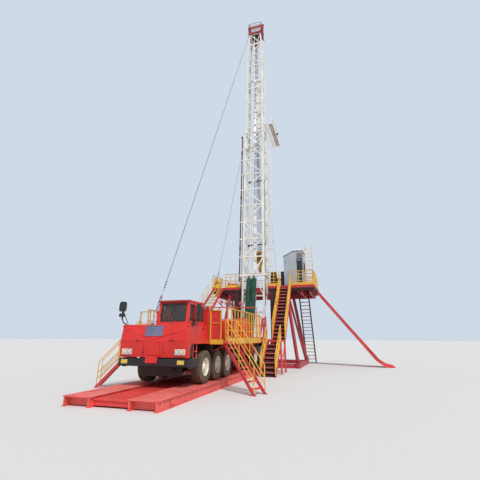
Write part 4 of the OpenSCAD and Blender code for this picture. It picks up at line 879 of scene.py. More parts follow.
def deck():
    keep("deck", "truck", 0.008)
    trim = Shape()
    for s in (-1, 1):
        # Channel flanges and stiffeners along the deck's edge
        x = s * (BODY_HALF - 0.01)
        trim.bar((x, CAB_Y1, DECK_Z - 0.012), (x, -2.2, DECK_Z - 0.012), 0.06, 0.026)
        trim.bar((x, CAB_Y1, DECK_Z - 0.135), (x, -2.2, DECK_Z - 0.135), 0.06, 0.02)
        for k in range(9):
            y = -7.9 + k * 0.68
            trim.block((x - 0.025, y - 0.012, DECK_Z - 0.135), (x + 0.025, y + 0.012, DECK_Z - 0.01))
        for y in (-13.9, -12.6, -11.3, -10.0, -8.7):
            # Knee brackets under the side platform
            trim.bar((s * 1.36, y, 1.5), (s * 1.98, y, 1.76), 0.05, 0.05)
    piece(trim, "deck_edge", "stair")
    edge = Shape()
    x = PLATFORM_X
    edge.block((x - 0.012, RAIL_Y0, DECK_Z - 0.17), (x + 0.004, PLATFORM_Y[1], DECK_Z + 0.08))
    edge.block((1.47, PLATFORM_Y[1] - 0.012, DECK_Z - 0.165), (x, PLATFORM_Y[1] - 0.001, DECK_Z))
    edge.block((-x - 0.004, RAIL_Y0, DECK_Z - 0.17), (-x + 0.012, FAR_Y - 1.2, DECK_Z + 0.08))
    for s in (-1, 1):
        edge.block((s * 1.46, PLATFORM_Y[0] - 0.012, DECK_Z - 0.165),
                   (s * x, PLATFORM_Y[0] - 0.001, DECK_Z + 0.02))
    piece(edge, "toe_boards", "yellow", bevel=0.002)
    tread = Shape()
    for s in (-1, 1):
        for k in range(60):
            y = -14.5 + k * 0.105
            tread.block((s * 1.5, y, DECK_Z - 0.004), (s * 2.0, y + 0.022, DECK_Z + 0.006))
    piece(tread, "platform_grating", "machine", bevel=0)


def handrail(shape, a, b, posts=4, toe=0.14, high=RAIL_H, knees=(0.55,)):
    """Posts on foot plates, top rail, knee rails and toe board."""
    a, b = Vector(a), Vector(b)
    up = Vector((0, 0, high))
    for k in range(posts):
        p = a.lerp(b, k / (posts - 1))
        shape.tube([p, p + up], RAIL_R, 10)
        shape.block(p - Vector((0.045, 0.045, -0.001)), p + Vector((0.045, 0.045, 0.012)))
    shape.tube([a + up, b + up], RAIL_R, 10)
    for share in knees:
        shape.tube([a + up * share, b + up * share], RAIL_R * 0.8, 8)
    if toe:
        middle = Vector((0, 0, 0.005 + toe / 2))
        shape.bar(a + middle, b + middle, 0.01, toe)


def deck_rails():
    x = PLATFORM_X - RAIL_IN
    z = DECK_Z - 0.002
    rails = Shape()
    for s, end, posts in ((1, PLATFORM_Y[1] - RAIL_IN, 13), (-1, FAR_Y - 1.225, 13)):
        handrail(rails, (s * x, RAIL_Y0, z), (s * x, end, z), posts, 0, SIDE_RAIL_H, (0.3, 0.62))
    far = -FAR_X + RAIL_IN
    front = FAR_Y - 1.2 + RAIL_IN
    handrail(rails, (far, front, z), (far, FAR_Y - 0.33, z), 2)
    handrail(rails, (far + 0.056, front, z), (-x - 0.066, front, z), 3)
    handrail(rails, (1.5, PLATFORM_Y[1] - 0.03, z), (1.98, PLATFORM_Y[1] - 0.03, z), 2, 0, SIDE_RAIL_H)
    # The gate at each platform's front end; the near one has a screen
    y = PLATFORM_Y[0] + RAIL_IN
    for inner, outer in ((1.45, 1.925), (-1.52, -2.017)):
        for px in (inner, outer):
            rails.bar((px, y, DECK_Z - 0.14), (px, y, DECK_Z + SIDE_RAIL_H - 0.12), 0.04, 0.05)
        for pz, deep in ((DECK_Z + SIDE_RAIL_H - 0.14, 0.05), (2.6, 0.03), (1.84, 0.1)):
            rails.bar((inner, y, pz), (outer, y, pz), 0.04, deep)
    piece(rails, "platform_rails", "yellow", bevel=0, replaces=("deck_rails",))
    screens = Shape()
    screens.block((1.47, y + 0.012, DECK_Z + 0.03), (1.9, y + 0.022, DECK_Z + SIDE_RAIL_H - 0.15))
    piece(screens, "gate_screen", "mesh", bevel=0)


def power_pack():
    keep("power_pack", "truck", 0.012)
    keep("engine_block", "machine", 0.02)
    grilles = Shape()
    for s in (-1, 1):
        x = 1.3 if s > 0 else -1.1
        for k in range(13):
            z = 2.15 + k * 0.062
            grilles.bar((x - s * 0.06, -14.3, z), (x - s * 0.06, -13.52, z), 0.05, 0.012)
    grilles.block((-1.0, CAB_Y1 + 0.285, 2.1), (1.2, CAB_Y1 + 0.298, 3.05))
    piece(grilles, "cooler_grilles", "mesh", bevel=0)
    panels = Shape()
    panels.block((1.3, -14.74, DECK_Z), (1.42, -14.68, 3.27))
    panels.turned((1.72, -13.6, DECK_Z + 0.02), (0, 0, 1),
                  [(0, 0.2), (0.03, 0.22), (0.75, 0.22), (0.82, 0.1), (0.86, 0.05)], 28)
    panels.block((1.5, -13.25, DECK_Z + 0.01), (1.93, -12.5, DECK_Z + 0.85))
    piece(panels, "pack_panel_and_tank", "truck", bevel=0.01)
    bits = Shape()
    for x, y, top in ((-0.7, -14.4, 3.42), (0.75, -13.55, 3.38)):
        bits.turned((x, y, 3.15), (0, 0, 1),
                    [(0, 0.16), (0.02, 0.13), (top - 3.2, 0.13), (top - 3.15, 0.1)], 24)
    for x in (-0.25, 0.35):
        bits.tube([(x, -13.9, 3.1), (x, -13.9, 3.24), (x + 0.02, -13.85, 3.33),
                   (x + 0.02, -13.7, 3.36)], 0.05, 14)
    bits.turned((0.1, -14.5, 3.27), (1, 0, 0), [(-0.55, 0.05), (-0.53, 0.11), (0.53, 0.11), (0.55, 0.05)], 24)
    bits.turned((-0.2, -10.35, 2.78), (0, 1, 0), [(0, 0.05), (0.02, 0.17), (0.85, 0.17), (0.87, 0.05)], 28)
    piece(bits, "exhausts_and_tanks", "machine", bevel=0.006)
    valves = Shape()
    for x, y, z, r in ((1.05, -12.6, 2.72, 0.16), (1.12, -12.15, 2.6, 0.13), (1.05, -11.7, 2.75, 0.15),
                       (0.9, -11.2, 2.62, 0.12)):
        # A hand wheel on its stem and valve body
        valves.turned((x, y, z), (0.3, -1, 0.5),
                      [(-0.012, r - 0.012), (0, r), (0.012, r - 0.012), (0, r - 0.024)], 24, closed=True)
        along = Vector((0.3, -1, 0.5)).normalized()
        level = along.orthogonal().normalized()
        other = along.cross(level)
        for arm in (level, other):
            valves.tube([Vector((x, y, z)) - arm * (r - 0.012),
                         Vector((x, y, z)) + arm * (r - 0.012)], 0.007, 6)
        valves.tube([Vector((x, y, z)), Vector((x, y, z)) - along * 0.22], 0.012, 8)
        foot = Vector((x, y, z)) - along * 0.25
        valves.turned(foot, along, [(-0.08, 0.07), (-0.06, 0.09), (0.04, 0.09), (0.08, 0.04)], 16)
        valves.tube([foot, Vector((foot.x, foot.y, DECK_Z))], 0.04, 12)
    piece(valves, "hand_wheels", "guard", bevel=0)
    pipes = Shape()
    rng = random.Random(7)
    for k in range(9):
        x, z = -0.4 + 0.17 * k, 2.1 + 0.1 * (k % 4)
        sag = 0.05 + 0.05 * rng.random()
        route = [(x, -13.15, z + 0.25), (x + 0.05, -12.8, z - sag),
                 (x + 0.12 * rng.random(), -12.0, z - 0.12), (x, -11.2, z - sag), (x * 0.8, -10.65, z)]
        pipes.tube(route, 0.022 + 0.012 * (k % 3), 10)
    piece(pipes, "hydraulic_hoses", "black", bevel=0)
    gear = Shape()
    gear.block((-0.35, -12.95, DECK_Z), (0.45, -11.9, 2.45))
    gear.turned((0.1, -11.9, 2.2), (0, 1, 0), [(0, 0.24), (0.3, 0.22), (0.32, 0.12), (1.3, 0.1)], 28)
    for y in (-10.45, -9.45):
        gear.block((-0.85, y - 0.03, 2.6), (0.85, y + 0.03, 2.66))
    gear.block((0.2, -10.5, 2.6), (0.75, -9.6, 2.95))
    piece(gear, "transmission", "machine", bevel=0.02)


def arc(cx, cy, r, start, end, count):
    """Points on an arc, angles in degrees."""
    turns = [math.radians(start + (end - start) * k / count) for k in range(count + 1)]
    return [(cx + r * math.cos(t), cy + r * math.sin(t)) for t in turns]


def drawworks():
    """Two drum guards with rounded tops, the drum with its rope between them, and a frame with valves."""
    drum_y, drum_z = -7.9, 2.55
    guards = Shape()
    for s in (-1, 1):
        outline = [(drum_y - 0.9, DECK_Z), (drum_y - 0.9, 2.45)] + arc(drum_y, 2.69, 0.43, 155, 25, 12)
        outline += [(drum_y + 1.1, 2.45), (drum_y + 1.1, DECK_Z)]
        guards.prism(outline, s * 0.905, s * 1.19)
        guards.prism([(a + (drum_y - a) * 0.06, b + (2.4 - b) * 0.06) for a, b in outline], s * 1.18, s * 1.2)
    guards.prism(arc(drum_y, 2.62, 0.5, 200, 20, 14) + arc(drum_y, 2.62, 0.485, 20, 200, 14), -0.9, 0.9)
    piece(guards, "drum_guards", "guard", bevel=0.012, replaces=("drawworks",), segments=2)
    drum = Shape()
    drum.turned((0, drum_y, drum_z), (1, 0, 0), [(-0.9, 0.05), (-0.88, 0.4), (-0.82, 0.4), (-0.82, 0.27),
                                                 (0.82, 0.27), (0.82, 0.4), (0.88, 0.4), (0.9, 0.05)], 48)
    piece(drum, "drum", "machine", bevel=0.006)
    # A pipe frame over the guards carries the control valves
    y = drum_y - 0.7
    over, plates = Shape(), Shape()
    over.tube([(-1.05, y, 2.4), (-1.05, y, 3.78), (1.9, y, 3.7), (1.9, y, DECK_Z)], 0.035, 10)
    over.tube([(-1.05, y, 3.1), (-0.35, y, 3.78)], 0.025, 8)
    over.tube([(-0.75, y, 4.25), (-0.2, y, 3.78)], 0.03, 8)
    for x, z, r in ((-0.3, 4.1, 0.13), (0.02, 4.02, 0.15), (0.32, 3.98, 0.12), (0.95, 3.95, 0.12)):
        over.turned((x, y - 0.16, z), (0, -1, 0),
                    [(-0.014, r - 0.014), (0, r), (0.014, r - 0.014), (0, r - 0.028)], 24, closed=True)
        for arm in ((r, 0), (0, r)):
            over.tube([(x - arm[0], y - 0.16, z - arm[1]), (x + arm[0], y - 0.16, z + arm[1])], 0.009, 6)
        over.tube([(x, y - 0.17, z), (x, y, z)], 0.014, 8)
        plates.turned((x, y - 0.04, z), (0, 1, 0),
                      [(-0.05, 0.05), (-0.03, 0.085), (0.06, 0.085), (0.09, 0.05)], 16)
        plates.tube([(x, y, z), (x, y, 3.74)], 0.035, 10)
    plates.block((0.12, y - 0.05, 3.8), (0.24, y + 0.05, 4.25))
    piece(over, "valve_frame", "guard", bevel=0)
    piece(plates, "valve_bodies", "steel", bevel=0)
    rope = Shape()
    turns, sides = 52, 28
    route = [(-0.8 + 1.6 * k / (turns * sides), drum_y + 0.285 * math.cos(2 * math.pi * k / sides),
              drum_z + 0.285 * math.sin(2 * math.pi * k / sides)) for k in range(turns * sides + 1)]
    rope.tube(route, 0.0145, 6)
    piece(rope, "drum_rope", "rope", bevel=0)


# Stairs


def flight(shape, foot, head, width, treads, grip, depth=0.24, plate=0.05):
    """Plumb-cut stringers with open treads, as the source has them, and tread nosings."""
    foot, head = Vector(foot), Vector(head)
    d = head - foot
    run = math.hypot(d.x, d.y)
    rise = d.z
    drop = depth * rise / run
    place = Matrix.Translation(foot) @ Matrix.Rotation(math.atan2(d.y, d.x), 4, "Z")
    local = Shape(place)
    for s in (-1, 1):
        middle = s * width / 2
        for t in (-1, 1):
            local.prism([(0, 0), (depth, 0), (run, rise - drop), (run, rise)], middle + t * plate / 2,
                        middle + t * (plate / 2 - 0.012), "y")
        local.prism([(0, 0), (0.02, 0), (run, rise - 0.012), (run, rise)], middle - plate / 2,
                    middle + plate / 2, "y")
        local.prism([(depth - 0.02, 0), (depth, 0), (run, rise - drop), (run, rise - drop + 0.012)],
                    middle - plate / 2, middle + plate / 2, "y")
    shape.add(local.points, local.faces)
    steps = Shape(place)
    bars = int((depth - 0.03) / 0.044) + 1
    for k in range(1, treads):
        a, z = k * run / treads + 0.004, k * rise / treads - 0.04
        for j in range(bars):
            steps.block((a + j * 0.044, -width / 2, z + 0.005), (a + j * 0.044 + 0.03, width / 2, z + 0.035))
        steps.block((a + depth - 0.02, -width / 2, z), (a + depth - 0.012, width / 2, z + 0.035))
        steps.block((a - 0.006, -width / 2, z - 0.012), (a + 0.012, width / 2, z + 0.037))
    grip.add(steps.points, steps.faces)


def flight_rails(shape, foot, head, width, posts, radius=0.019):
    foot, head = Vector(foot), Vector(head)
    up = Vector((0, 0, 0.95))
    d = head - foot
    side = Vector((-d.y, d.x, 0)).normalized()
    for s in (-1, 1):
        a = foot + side * s * width / 2 + d * 0.06
        b = foot + side * s * width / 2 + d * 0.97
        for k in range(posts):
            p = a.lerp(b, k / (posts - 1))
            shape.tube([p - Vector((0, 0, 0.06)), p + up], radius, 10)
        for high in (0.25, 0.5, 0.98):
            shape.tube([a + up * high, b + up * high], radius, 10)


def stairs():
    near, steps, yellow, pink = Shape(), Shape(), Shape(), Shape()
    for s in (-1, 1):
        foot, head = (s * 3.72, -14.9, 0), (s * 2.2, -14.17, DECK_Z - 0.06)
        flight(near, foot, head, 0.64, 8, near, 0.165)
        near.block((s * 2.14 - 0.09, head[1] - 0.38, DECK_Z - 0.15),
                   (s * 2.14 + 0.09, head[1] + 0.38, DECK_Z - 0.07))
        flight_rails(yellow, foot, head, 0.64, 3)
    piece(near, "side_steps", "stair", bevel=0.003, replaces=("access_stairs",))
    x = STAIR_X
    main = Shape()
    flight(main, (x, *LANDING), (x, FLOOR_Y[0], FLOOR_Z), 0.85, 16, pink)
    flight(main, (x, *STAIR_FOOT), (x, *STAIR_TURN), 0.85, 8, pink)
    main.block((2.08, -6.9, 1.78), (3.01, -5.4, 1.9))
    for px in (2.15, 2.94):
        for y in (-6.82, -5.48):
            main.bar((px, y, 0), (px, y, 1.79), 0.1, 0.1)
            main.block((px - 0.11, y - 0.11, 0), (px + 0.11, y + 0.11, 0.02))
        main.bar((px, -6.77, 0.12), (px, -5.53, 1.7), 0.05, 0.05)
        main.bar((px, -6.77, 1.0), (px, -5.53, 1.0), 0.05, 0.05)
    piece(main, "main_stair", "stair", bevel=0.003, replaces=("floor_stair",))
    # Near-black sheets under each flight's treads: painted shade seen between the open treads
    tread_shade = Shape()
    for foot, head in ((LANDING, (FLOOR_Y[0], FLOOR_Z)), (STAIR_FOOT, STAIR_TURN)):
        (fy, fz), (hy, hz) = foot, head
        drop = 0.24 * (hz - fz) / (hy - fy)
        tread_shade.prism([(fy + 0.24, fz), (fy + 0.245, fz), (hy, hz - drop - 0.005), (hy, hz - drop)],
                      x - 0.4, x + 0.4)
    piece(tread_shade, "stair_tread_shade", "under", bevel=0)
    piece(pink, "main_stair_treads", "tread", bevel=0)
    flight_rails(yellow, (x, *LANDING), (x, FLOOR_Y[0] - 0.04, FLOOR_Z), 0.85, 9, 0.032)
    flight_rails(yellow, (x, *STAIR_FOOT), (x, *STAIR_TURN), 0.85, 5, 0.03)
    far = Shape()
    far_x = FAR_STAIR_FOOT[0]
    flight(far, FAR_STAIR_FOOT, (far_x, FLOOR_Y[0], FLOOR_Z), 0.86, 15, steps, 0.32, 0.07)
    piece(far, "far_stair", "stair", bevel=0.003, replaces=("deck_stair",))
    piece(steps, "far_stair_treads", "timber", bevel=0)
    flight_rails(yellow, FAR_STAIR_FOOT, (far_x, FLOOR_Y[0] - 0.04, FLOOR_Z), 0.86, 6)
    piece(yellow, "stair_rails", "yellow", bevel=0)
    back, pale = Shape(), Shape()
    flight(back, (3.43, 4.95, 0), (3.43, FLOOR_Y[1], FLOOR_Z), 0.82, 20, pale, 0.26, 0.09)
    piece(pale, "back_stair_treads", "timber", bevel=0)
    piece(back, "back_stair", "dark_red", bevel=0.003, replaces=("rear_stair",))


# Drill floor


def drill_floor():
    keep("drill_floor", "floor", 0.006)
    keep("rotary_table", "machine", 0.01)
    notch = 1.12
    # The joists under the floor are near black: painted shade beneath the drill floor
    under = Shape()
    for k in range(8):
        x = FLOOR_X[0] + 0.15 + k * (FLOOR_X[1] - FLOOR_X[0] - 0.3) / 7
        front = -0.78 if abs(x) < 1.2 else FLOOR_Y[0] + 0.1
        if abs(x) > 0.62:
            under.block((x - 0.05, front, UNDER_Z - 0.16), (x + 0.05, FLOOR_Y[1] - 0.1, UNDER_Z - 0.002))
            under.block((x - 0.09, front, UNDER_Z - 0.18), (x + 0.09, FLOOR_Y[1] - 0.1, UNDER_Z - 0.16))
    for y in (-1.84, -0.7, 0.62, 1.92):
        for low, high in ((FLOOR_X[0] + 0.08, -1.15), (1.15, FLOOR_X[1] - 0.08)):
            under.block((low, y - 0.05, UNDER_Z - 0.13), (high, y + 0.05, UNDER_Z - 0.002))
    piece(under, "floor_joists", "under")
    lip = Shape()
    for y in (FLOOR_Y[0] + 0.012, FLOOR_Y[1] - 0.012):
        for low, high in ((FLOOR_X[0], -notch if y < 0 else 0), (notch if y < 0 else 0, FLOOR_X[1])):
            lip.bar((low, y, FLOOR_Z - 0.01), (high, y, FLOOR_Z - 0.01), 0.03, 0.03)
            lip.bar((low, y, UNDER_Z + 0.012), (high, y, UNDER_Z + 0.012), 0.03, 0.024)
    for x in (FLOOR_X[0] + 0.012, FLOOR_X[1] - 0.012):
        lip.bar((x, FLOOR_Y[0], FLOOR_Z - 0.01), (x, FLOOR_Y[1], FLOOR_Z - 0.01), 0.03, 0.03)
    piece(lip, "floor_edges", "stair", bevel=0.003)
    # A near-black strip along the floor's lower edges: painted shade under the floor
    edge_shade = Shape()
    for low, high in ((FLOOR_X[0], -notch), (notch, FLOOR_X[1])):
        edge_shade.block((low, FLOOR_Y[0] - 0.006, UNDER_Z - 0.01), (high, FLOOR_Y[0] + 0.006, UNDER_Z + 0.1))
    edge_shade.block((FLOOR_X[1] - 0.006, FLOOR_Y[0], UNDER_Z - 0.01),
                (FLOOR_X[1] + 0.006, FLOOR_Y[1], UNDER_Z + 0.1))
    piece(edge_shade, "floor_edge_shade", "under", bevel=0)
    plates = Shape()
    for i in range(16):
        for j in range(8):
            x, y = FLOOR_X[0] + 0.3 + i * 0.52, FLOOR_Y[0] + 0.3 + j * 0.47
            in_notch = abs(x) < 1.35 and y < -0.6
            if math.hypot(x, y) > 0.95 and not in_notch:
                plates.block((x - 0.24, y - 0.215, FLOOR_Z), (x + 0.24, y + 0.215, FLOOR_Z + 0.006))
    piece(plates, "floor_plates", "machine", bevel=0)
    bushing = Shape()
    bushing.turned((0, 0, FLOOR_Z + 0.08), (0, 0, 1), [(0, 0.5), (0.03, 0.47), (0.03, 0.29), (0, 0.27)],
                   48, closed=True)
    for k in range(12):
        turn = 2 * math.pi * k / 12
        bushing.bolts([(0.53 * math.cos(turn), 0.53 * math.sin(turn), FLOOR_Z + 0.08)],
                      (0, 0, 1), 0.022, 0.02)
    piece(bushing, "table_ring", "steel")


def floor_rails():
    z = FLOOR_Z
    x0, x1 = FLOOR_X[0] + RAIL_IN, FLOOR_X[1] - RAIL_IN
    y0, y1 = FLOOR_Y[0] + RAIL_IN, FLOOR_Y[1] - RAIL_IN
    rails = Shape()
    for a, b, posts in (((x0, y0), (x0, y1), 6), ((x0 + 0.05, y1), (2.9, y1), 10),
                        ((3.95, y1), (x1 - 0.05, y1), 2), ((x1, y0), (x1, 0.5), 6),
                        ((3.06, y0), (x1 - 0.05, y0), 4), ((1.18, y0), (2.03, y0), 3),
                        ((-2.5, y0), (-1.18, y0), 4)):
        handrail(rails, (*a, z), (*b, z), posts, 0.19, RAIL_H, (0.3, 0.55, 0.78))
    piece(rails, "drill_floor_rails", "yellow", bevel=0, replaces=("floor_rails",))


def floor_tools():
    """Tongs, hoses, winches and the driller's console that stand on the floor."""
    tools, dark = Shape(), Shape()
    dark.block((1.3, -1.7, FLOOR_Z), (1.75, -1.2, FLOOR_Z + 0.95))
    dark.turned((1.52, -1.45, FLOOR_Z + 1.02), (1, 0, 0),
                [(-0.22, 0.05), (-0.2, 0.16), (0.2, 0.16), (0.22, 0.05)], 20)
    dark.tube([(1.4, -1.2, FLOOR_Z + 0.8), (1.3, -0.8, FLOOR_Z + 0.5), (1.1, -0.6, FLOOR_Z + 0.1),
               (0.8, -0.6, FLOOR_Z + 0.05)], 0.03)
    dark.block((2.0, -0.9, FLOOR_Z), (2.3, -0.45, FLOOR_Z + 1.3))
    tools.turned((-2.1, -1.2, FLOOR_Z + 0.28), (1, 0, 0), [(-0.3, 0.1), (-0.3, 0.22), (-0.26, 0.22),
                                                           (-0.26, 0.13), (0.26, 0.13), (0.26, 0.22),
                                                           (0.3, 0.22), (0.3, 0.1)], 28)
    tools.block((-2.45, -1.45, FLOOR_Z), (-1.75, -0.95, FLOOR_Z + 0.08))
    tools.block((-2.45, -1.4, FLOOR_Z + 0.05), (-2.38, -1.0, FLOOR_Z + 0.4))
    tools.block((-1.82, -1.4, FLOOR_Z + 0.05), (-1.75, -1.0, FLOOR_Z + 0.4))
    for x, y in ((-1.3, 0.9), (1.3, 1.0)):
        # A pipe tong on its line
        tools.turned((x, y, FLOOR_Z + 0.95), (0, 0, 1),
                     [(-0.1, 0.2), (-0.08, 0.24), (0.08, 0.24), (0.1, 0.2)], 20)
        tools.bar((x, y, FLOOR_Z + 0.95), (x * 1.6, y * 1.5, FLOOR_Z + 0.98), 0.1, 0.14)
        dark.tube([(x, y, FLOOR_Z + 1.05), (x * 0.72, y * 0.3, FLOOR_Z + 9.0)], 0.008, 6)
    piece(tools, "tongs_and_winch", "guard", bevel=0.006)
    hoist = Shape()
    hoist.block((-3.6, -1.75, FLOOR_Z), (-3.1, -1.25, FLOOR_Z + 0.3))
    hoist.turned((-3.6, -1.5, FLOOR_Z + 0.55), (1, 0, 0), [(0, 0.1), (0, 0.27), (0.05, 0.27), (0.05, 0.16),
                                                           (0.45, 0.16), (0.45, 0.27), (0.5, 0.27),
                                                           (0.5, 0.1)], 28)
    hoist.block((-3.62, -1.6, FLOOR_Z + 0.2), (-3.57, -1.4, FLOOR_Z + 0.95))
    hoist.block((-3.13, -1.6, FLOOR_Z + 0.2), (-3.08, -1.4, FLOOR_Z + 0.95))
    piece(hoist, "wing_hoist", "block", bevel=0.008)
    piece(dark, "console_and_hoses", "black", bevel=0.008)


def roof_height(x):
    """The cabin's roof above the floor: it rises from the stair side to the ridge, then runs level."""
    share = min(1.0, (x - DOG_X[0]) / (DOG_RIDGE - DOG_X[0]))
    return DOG_H[0] + (DOG_H[1] - DOG_H[0]) * share


def doghouse():
    keep("doghouse", "doghouse", 0.006)
    keep("doghouse_door", "doghouse", 0.006)
    ribs, seals = Shape(), Shape()
    x0, x1 = DOG_X
    y0, y1 = DOG_Y
    foot = FLOOR_Z + 0.08
    for k in range(14):
        x = x0 + 0.07 + k * (x1 - x0 - 0.14) / 13
        top = FLOOR_Z + roof_height(x) - 0.06
        beside = abs(x - sum(PANE_X) / 2) > 0.23
        ribs.bar((x, y0 - 0.006, foot if beside else FLOOR_Z + 2.07), (x, y0 - 0.006, top), 0.014, 0.05)
        ribs.bar((x, y1 + 0.006, foot), (x, y1 + 0.006, top), 0.014, 0.05)
    for k in range(17):
        y = y0 + 0.06 + k * (y1 - y0 - 0.12) / 16
        ribs.bar((x0 - 0.006, y, foot), (x0 - 0.006, y, FLOOR_Z + DOG_H[0] - 0.08), 0.05, 0.014)
        if not (-0.72 < y < 0.87):
            ribs.bar((x1 + 0.006, y, foot), (x1 + 0.006, y, FLOOR_Z + DOG_H[1] - 0.08), 0.05, 0.014)
    for x in (x0, x1):
        for y in (y0, y1):
            ribs.bar((x, y, FLOOR_Z + 0.01), (x, y, FLOOR_Z + roof_height(x)), 0.05, 0.05)
    piece(ribs, "cabin_sheets", "doghouse")
    # Roof sheet and the vent panel's slats
    roof = Shape()
    low = FLOOR_Z + DOG_H[0] + 0.006
    ridge = FLOOR_Z + DOG_H[1] + 0.006
    out = 0.05 * (ridge - low) / (DOG_RIDGE - x0)
    roof.prism([(x0 - 0.05, low - out), (x0 - 0.05, low - out + 0.04), (DOG_RIDGE, ridge + 0.04),
                (DOG_RIDGE, ridge)], y0 - 0.06, y1 + 0.06, "y")
    roof.prism([(DOG_RIDGE, ridge), (DOG_RIDGE, ridge + 0.04), (x1 + 0.045, ridge + 0.04),
                (x1 + 0.045, ridge)], y0 - 0.06, y1 + 0.06, "y")
    for k in range(5):
        roof.block((3.43, y0 - 0.03, FLOOR_Z + 2.34 + k * 0.08),
                   (x1 + 0.02, y0 - 0.004, FLOOR_Z + 2.4 + k * 0.08))
    piece(roof, "cabin_roof", "vent")
    # Black sheets inside and over the window openings: painted shade for the cabin's dark inside
    for z0, z1 in DOG_PANES:
        window(seals, (PANE_X[0], y0 - 0.004, FLOOR_Z + z0), (PANE_X[1], y0 - 0.004, FLOOR_Z + z1), 0.04)
        seals.block((PANE_X[0] + 0.004, y0 + 0.02, FLOOR_Z + z0 + 0.004),
                    (PANE_X[1] - 0.004, y0 + 0.026, FLOOR_Z + z1 - 0.004))
    window(seals, (3.42, y0 - 0.012, FLOOR_Z + 1.3), (3.84, y0 - 0.012, FLOOR_Z + 2.26), 0.035)
    seals.block((3.43, y0 - 0.008, FLOOR_Z + 1.31), (3.83, y0 - 0.002, FLOOR_Z + 2.25))
    face = x1 + 0.004
    window(seals, (face, -0.65, FLOOR_Z + 1.3), (face, 0.0, FLOOR_Z + 2.0), 0.04)
    seals.block((x1 - 0.034, -0.645, FLOOR_Z + 1.305), (x1 - 0.03, -0.005, FLOOR_Z + 1.995))
    seals.bar((face, -0.325, FLOOR_Z + 1.3), (face, -0.325, FLOOR_Z + 2.0), 0.025, 0.025)
    piece(seals, "cabin_window_frames_and_shade", "black", bevel=0.003)
    ladder = Shape()
    y = y0 - 0.02
    for x, top in ((4.13, 9.12), (4.67, 9.05)):
        ladder.bar((x, y, FLOOR_Z), (x, y, top), 0.05, 0.06)
        ladder.tube([(x, y, top - 0.04), (x, y + 0.12, top + 0.08), (x, y + 0.3, top + 0.04),
                     (x, y + 0.34, 8.84)], 0.02, 8)
    for k in range(9):
        z = FLOOR_Z + 0.3 + k * 0.335
        ladder.tube([(4.13, y, z), (4.67, y, z)], 0.02, 8)
    for z in (6.9, 8.4):
        ladder.bar((x1 - 0.002, y0 + 0.04, z), (4.13, y, z), 0.04, 0.04)
    piece(ladder, "cabin_ladder", "cream", bevel=0)
    pole = Shape()
    pole.tube([(4.55, y0 - 0.06, 8.5), (4.55, y0 - 0.06, 9.6)], 0.034, 10)
    pole.block((4.5, y0 - 0.08, 8.62), (4.7, y0 - 0.02, 8.68))
    pole.turned((3.62, y0 + 0.2, FLOOR_Z + DOG_H[1] + 0.04), (0, 0, 1),
                [(0, 0.16), (0.06, 0.16), (0.16, 0.09)], 20)
    piece(pole, "lamp_pole", "white", bevel=0)


def pipe_ramp():
    keep("pipe_ramp", "stair", 0.006)
    ribs = Shape()
    y0, y1 = 0.35, 1.7
    a, b = Vector((4.8, 0, 5.62)), Vector((8.7, 0, 0.62))
    for k in range(13):
        p = a.lerp(b, (k + 0.5) / 13)
        ribs.bar((p.x, y0 + 0.02, p.z - 0.02), (p.x, y1 - 0.02, p.z - 0.02), 0.05, 0.03)
    for y in (y0, y1):
        ribs.bar((a.x, y, a.z + 0.1), (b.x + 0.15, y, b.z - 0.06), 0.13, 0.02)
    piece(ribs, "ramp_ribs", "floor", bevel=0.003)


def substructure():
    # The frame's red is darkened with painted shade from under the floor
    keep("substructure", "frame", 0.008)
    keep("mast_base", "stair", 0.006)
    column_x = 1.5
    extra = Shape()
    for x, top_x in ((-2.9, -2.1), (3.3, 2.5)):
        for y, top_y in ((-2.35, -1.6), (2.6, 1.6)):
            extra.block((x - 0.2, y - 0.22, 0.3), (x + 0.2, y + 0.22, 0.33))
            extra.block((x - 0.025, y - 0.2, 0.33), (x + 0.025, y + 0.2, 0.62))
            extra.turned((x - 0.14, y, 0.5), (1, 0, 0), [(0, 0.09), (0.28, 0.09)], 24)
            extra.block((top_x - 0.16, top_y - 0.16, UNDER_Z - 0.26),
                        (top_x + 0.16, top_y + 0.16, UNDER_Z - 0.001))
        for k in range(6):
            y = -2.4 + k
            extra.block((x - 0.11, y - 0.01, 0.05), (x + 0.11, y + 0.01, 0.29))
    for s in (-1, 1):
        for z in (1.2, 2.6, 4.0):
            extra.block((s * column_x - 0.245, -1.86, z), (s * column_x + 0.245, -1.49, z + 0.05))
    piece(extra, "frame_joints", "frame", bevel=0.005)
    # Near-black plates on the columns' faces: painted shade between the mast and the stair
    columns = Shape()
    for s in (-1, 1):
        for x in (s * column_x - 0.236, s * column_x + 0.236):
            columns.block((x - 0.008, -1.856, 0.3), (x + 0.008, -1.494, UNDER_Z))
        columns.block((s * column_x - 0.244, -1.864, 0.3), (s * column_x + 0.244, -1.854, UNDER_Z))
    piece(columns, "column_side_shade", "under", bevel=0)


# Mast


def up_half(w):
    """Half the width of the upper section at a height along the mast."""
    share = max(0.0, (w - TAPER_W) / (CROWN_W - TAPER_W))
    return UP_HALF - (UP_HALF - TOP_HALF) * share


def gusset(shape, s, half, v, w, size):
    """A plate over a joint on the front face, with its corners cut."""
    outline = [(half - 0.012, w - size), (half - LEG, w - size), (half - LEG - 0.16, w - 0.045),
               (half - LEG - 0.16, w + 0.045), (half - LEG, w + size), (half - 0.012, w + size)]
    shape.prism([(s * x, z) for x, z in outline], v - 0.012, v + 0.004, "y")


def side_gusset(shape, x, v_leg, way, w, size):
    """A plate over a joint on a side face, running one way from its leg."""
    outline = [(v_leg, w - size), (v_leg + way * 0.12, w - size), (v_leg + way * 0.26, w - 0.04),
               (v_leg + way * 0.26, w + 0.04), (v_leg + way * 0.12, w + size), (v_leg, w + size)]
    low = x if x < 0 else x - 0.004
    shape.prism(outline, low - (0.008 if x < 0 else 0), low + (0.004 if x < 0 else 0.012))


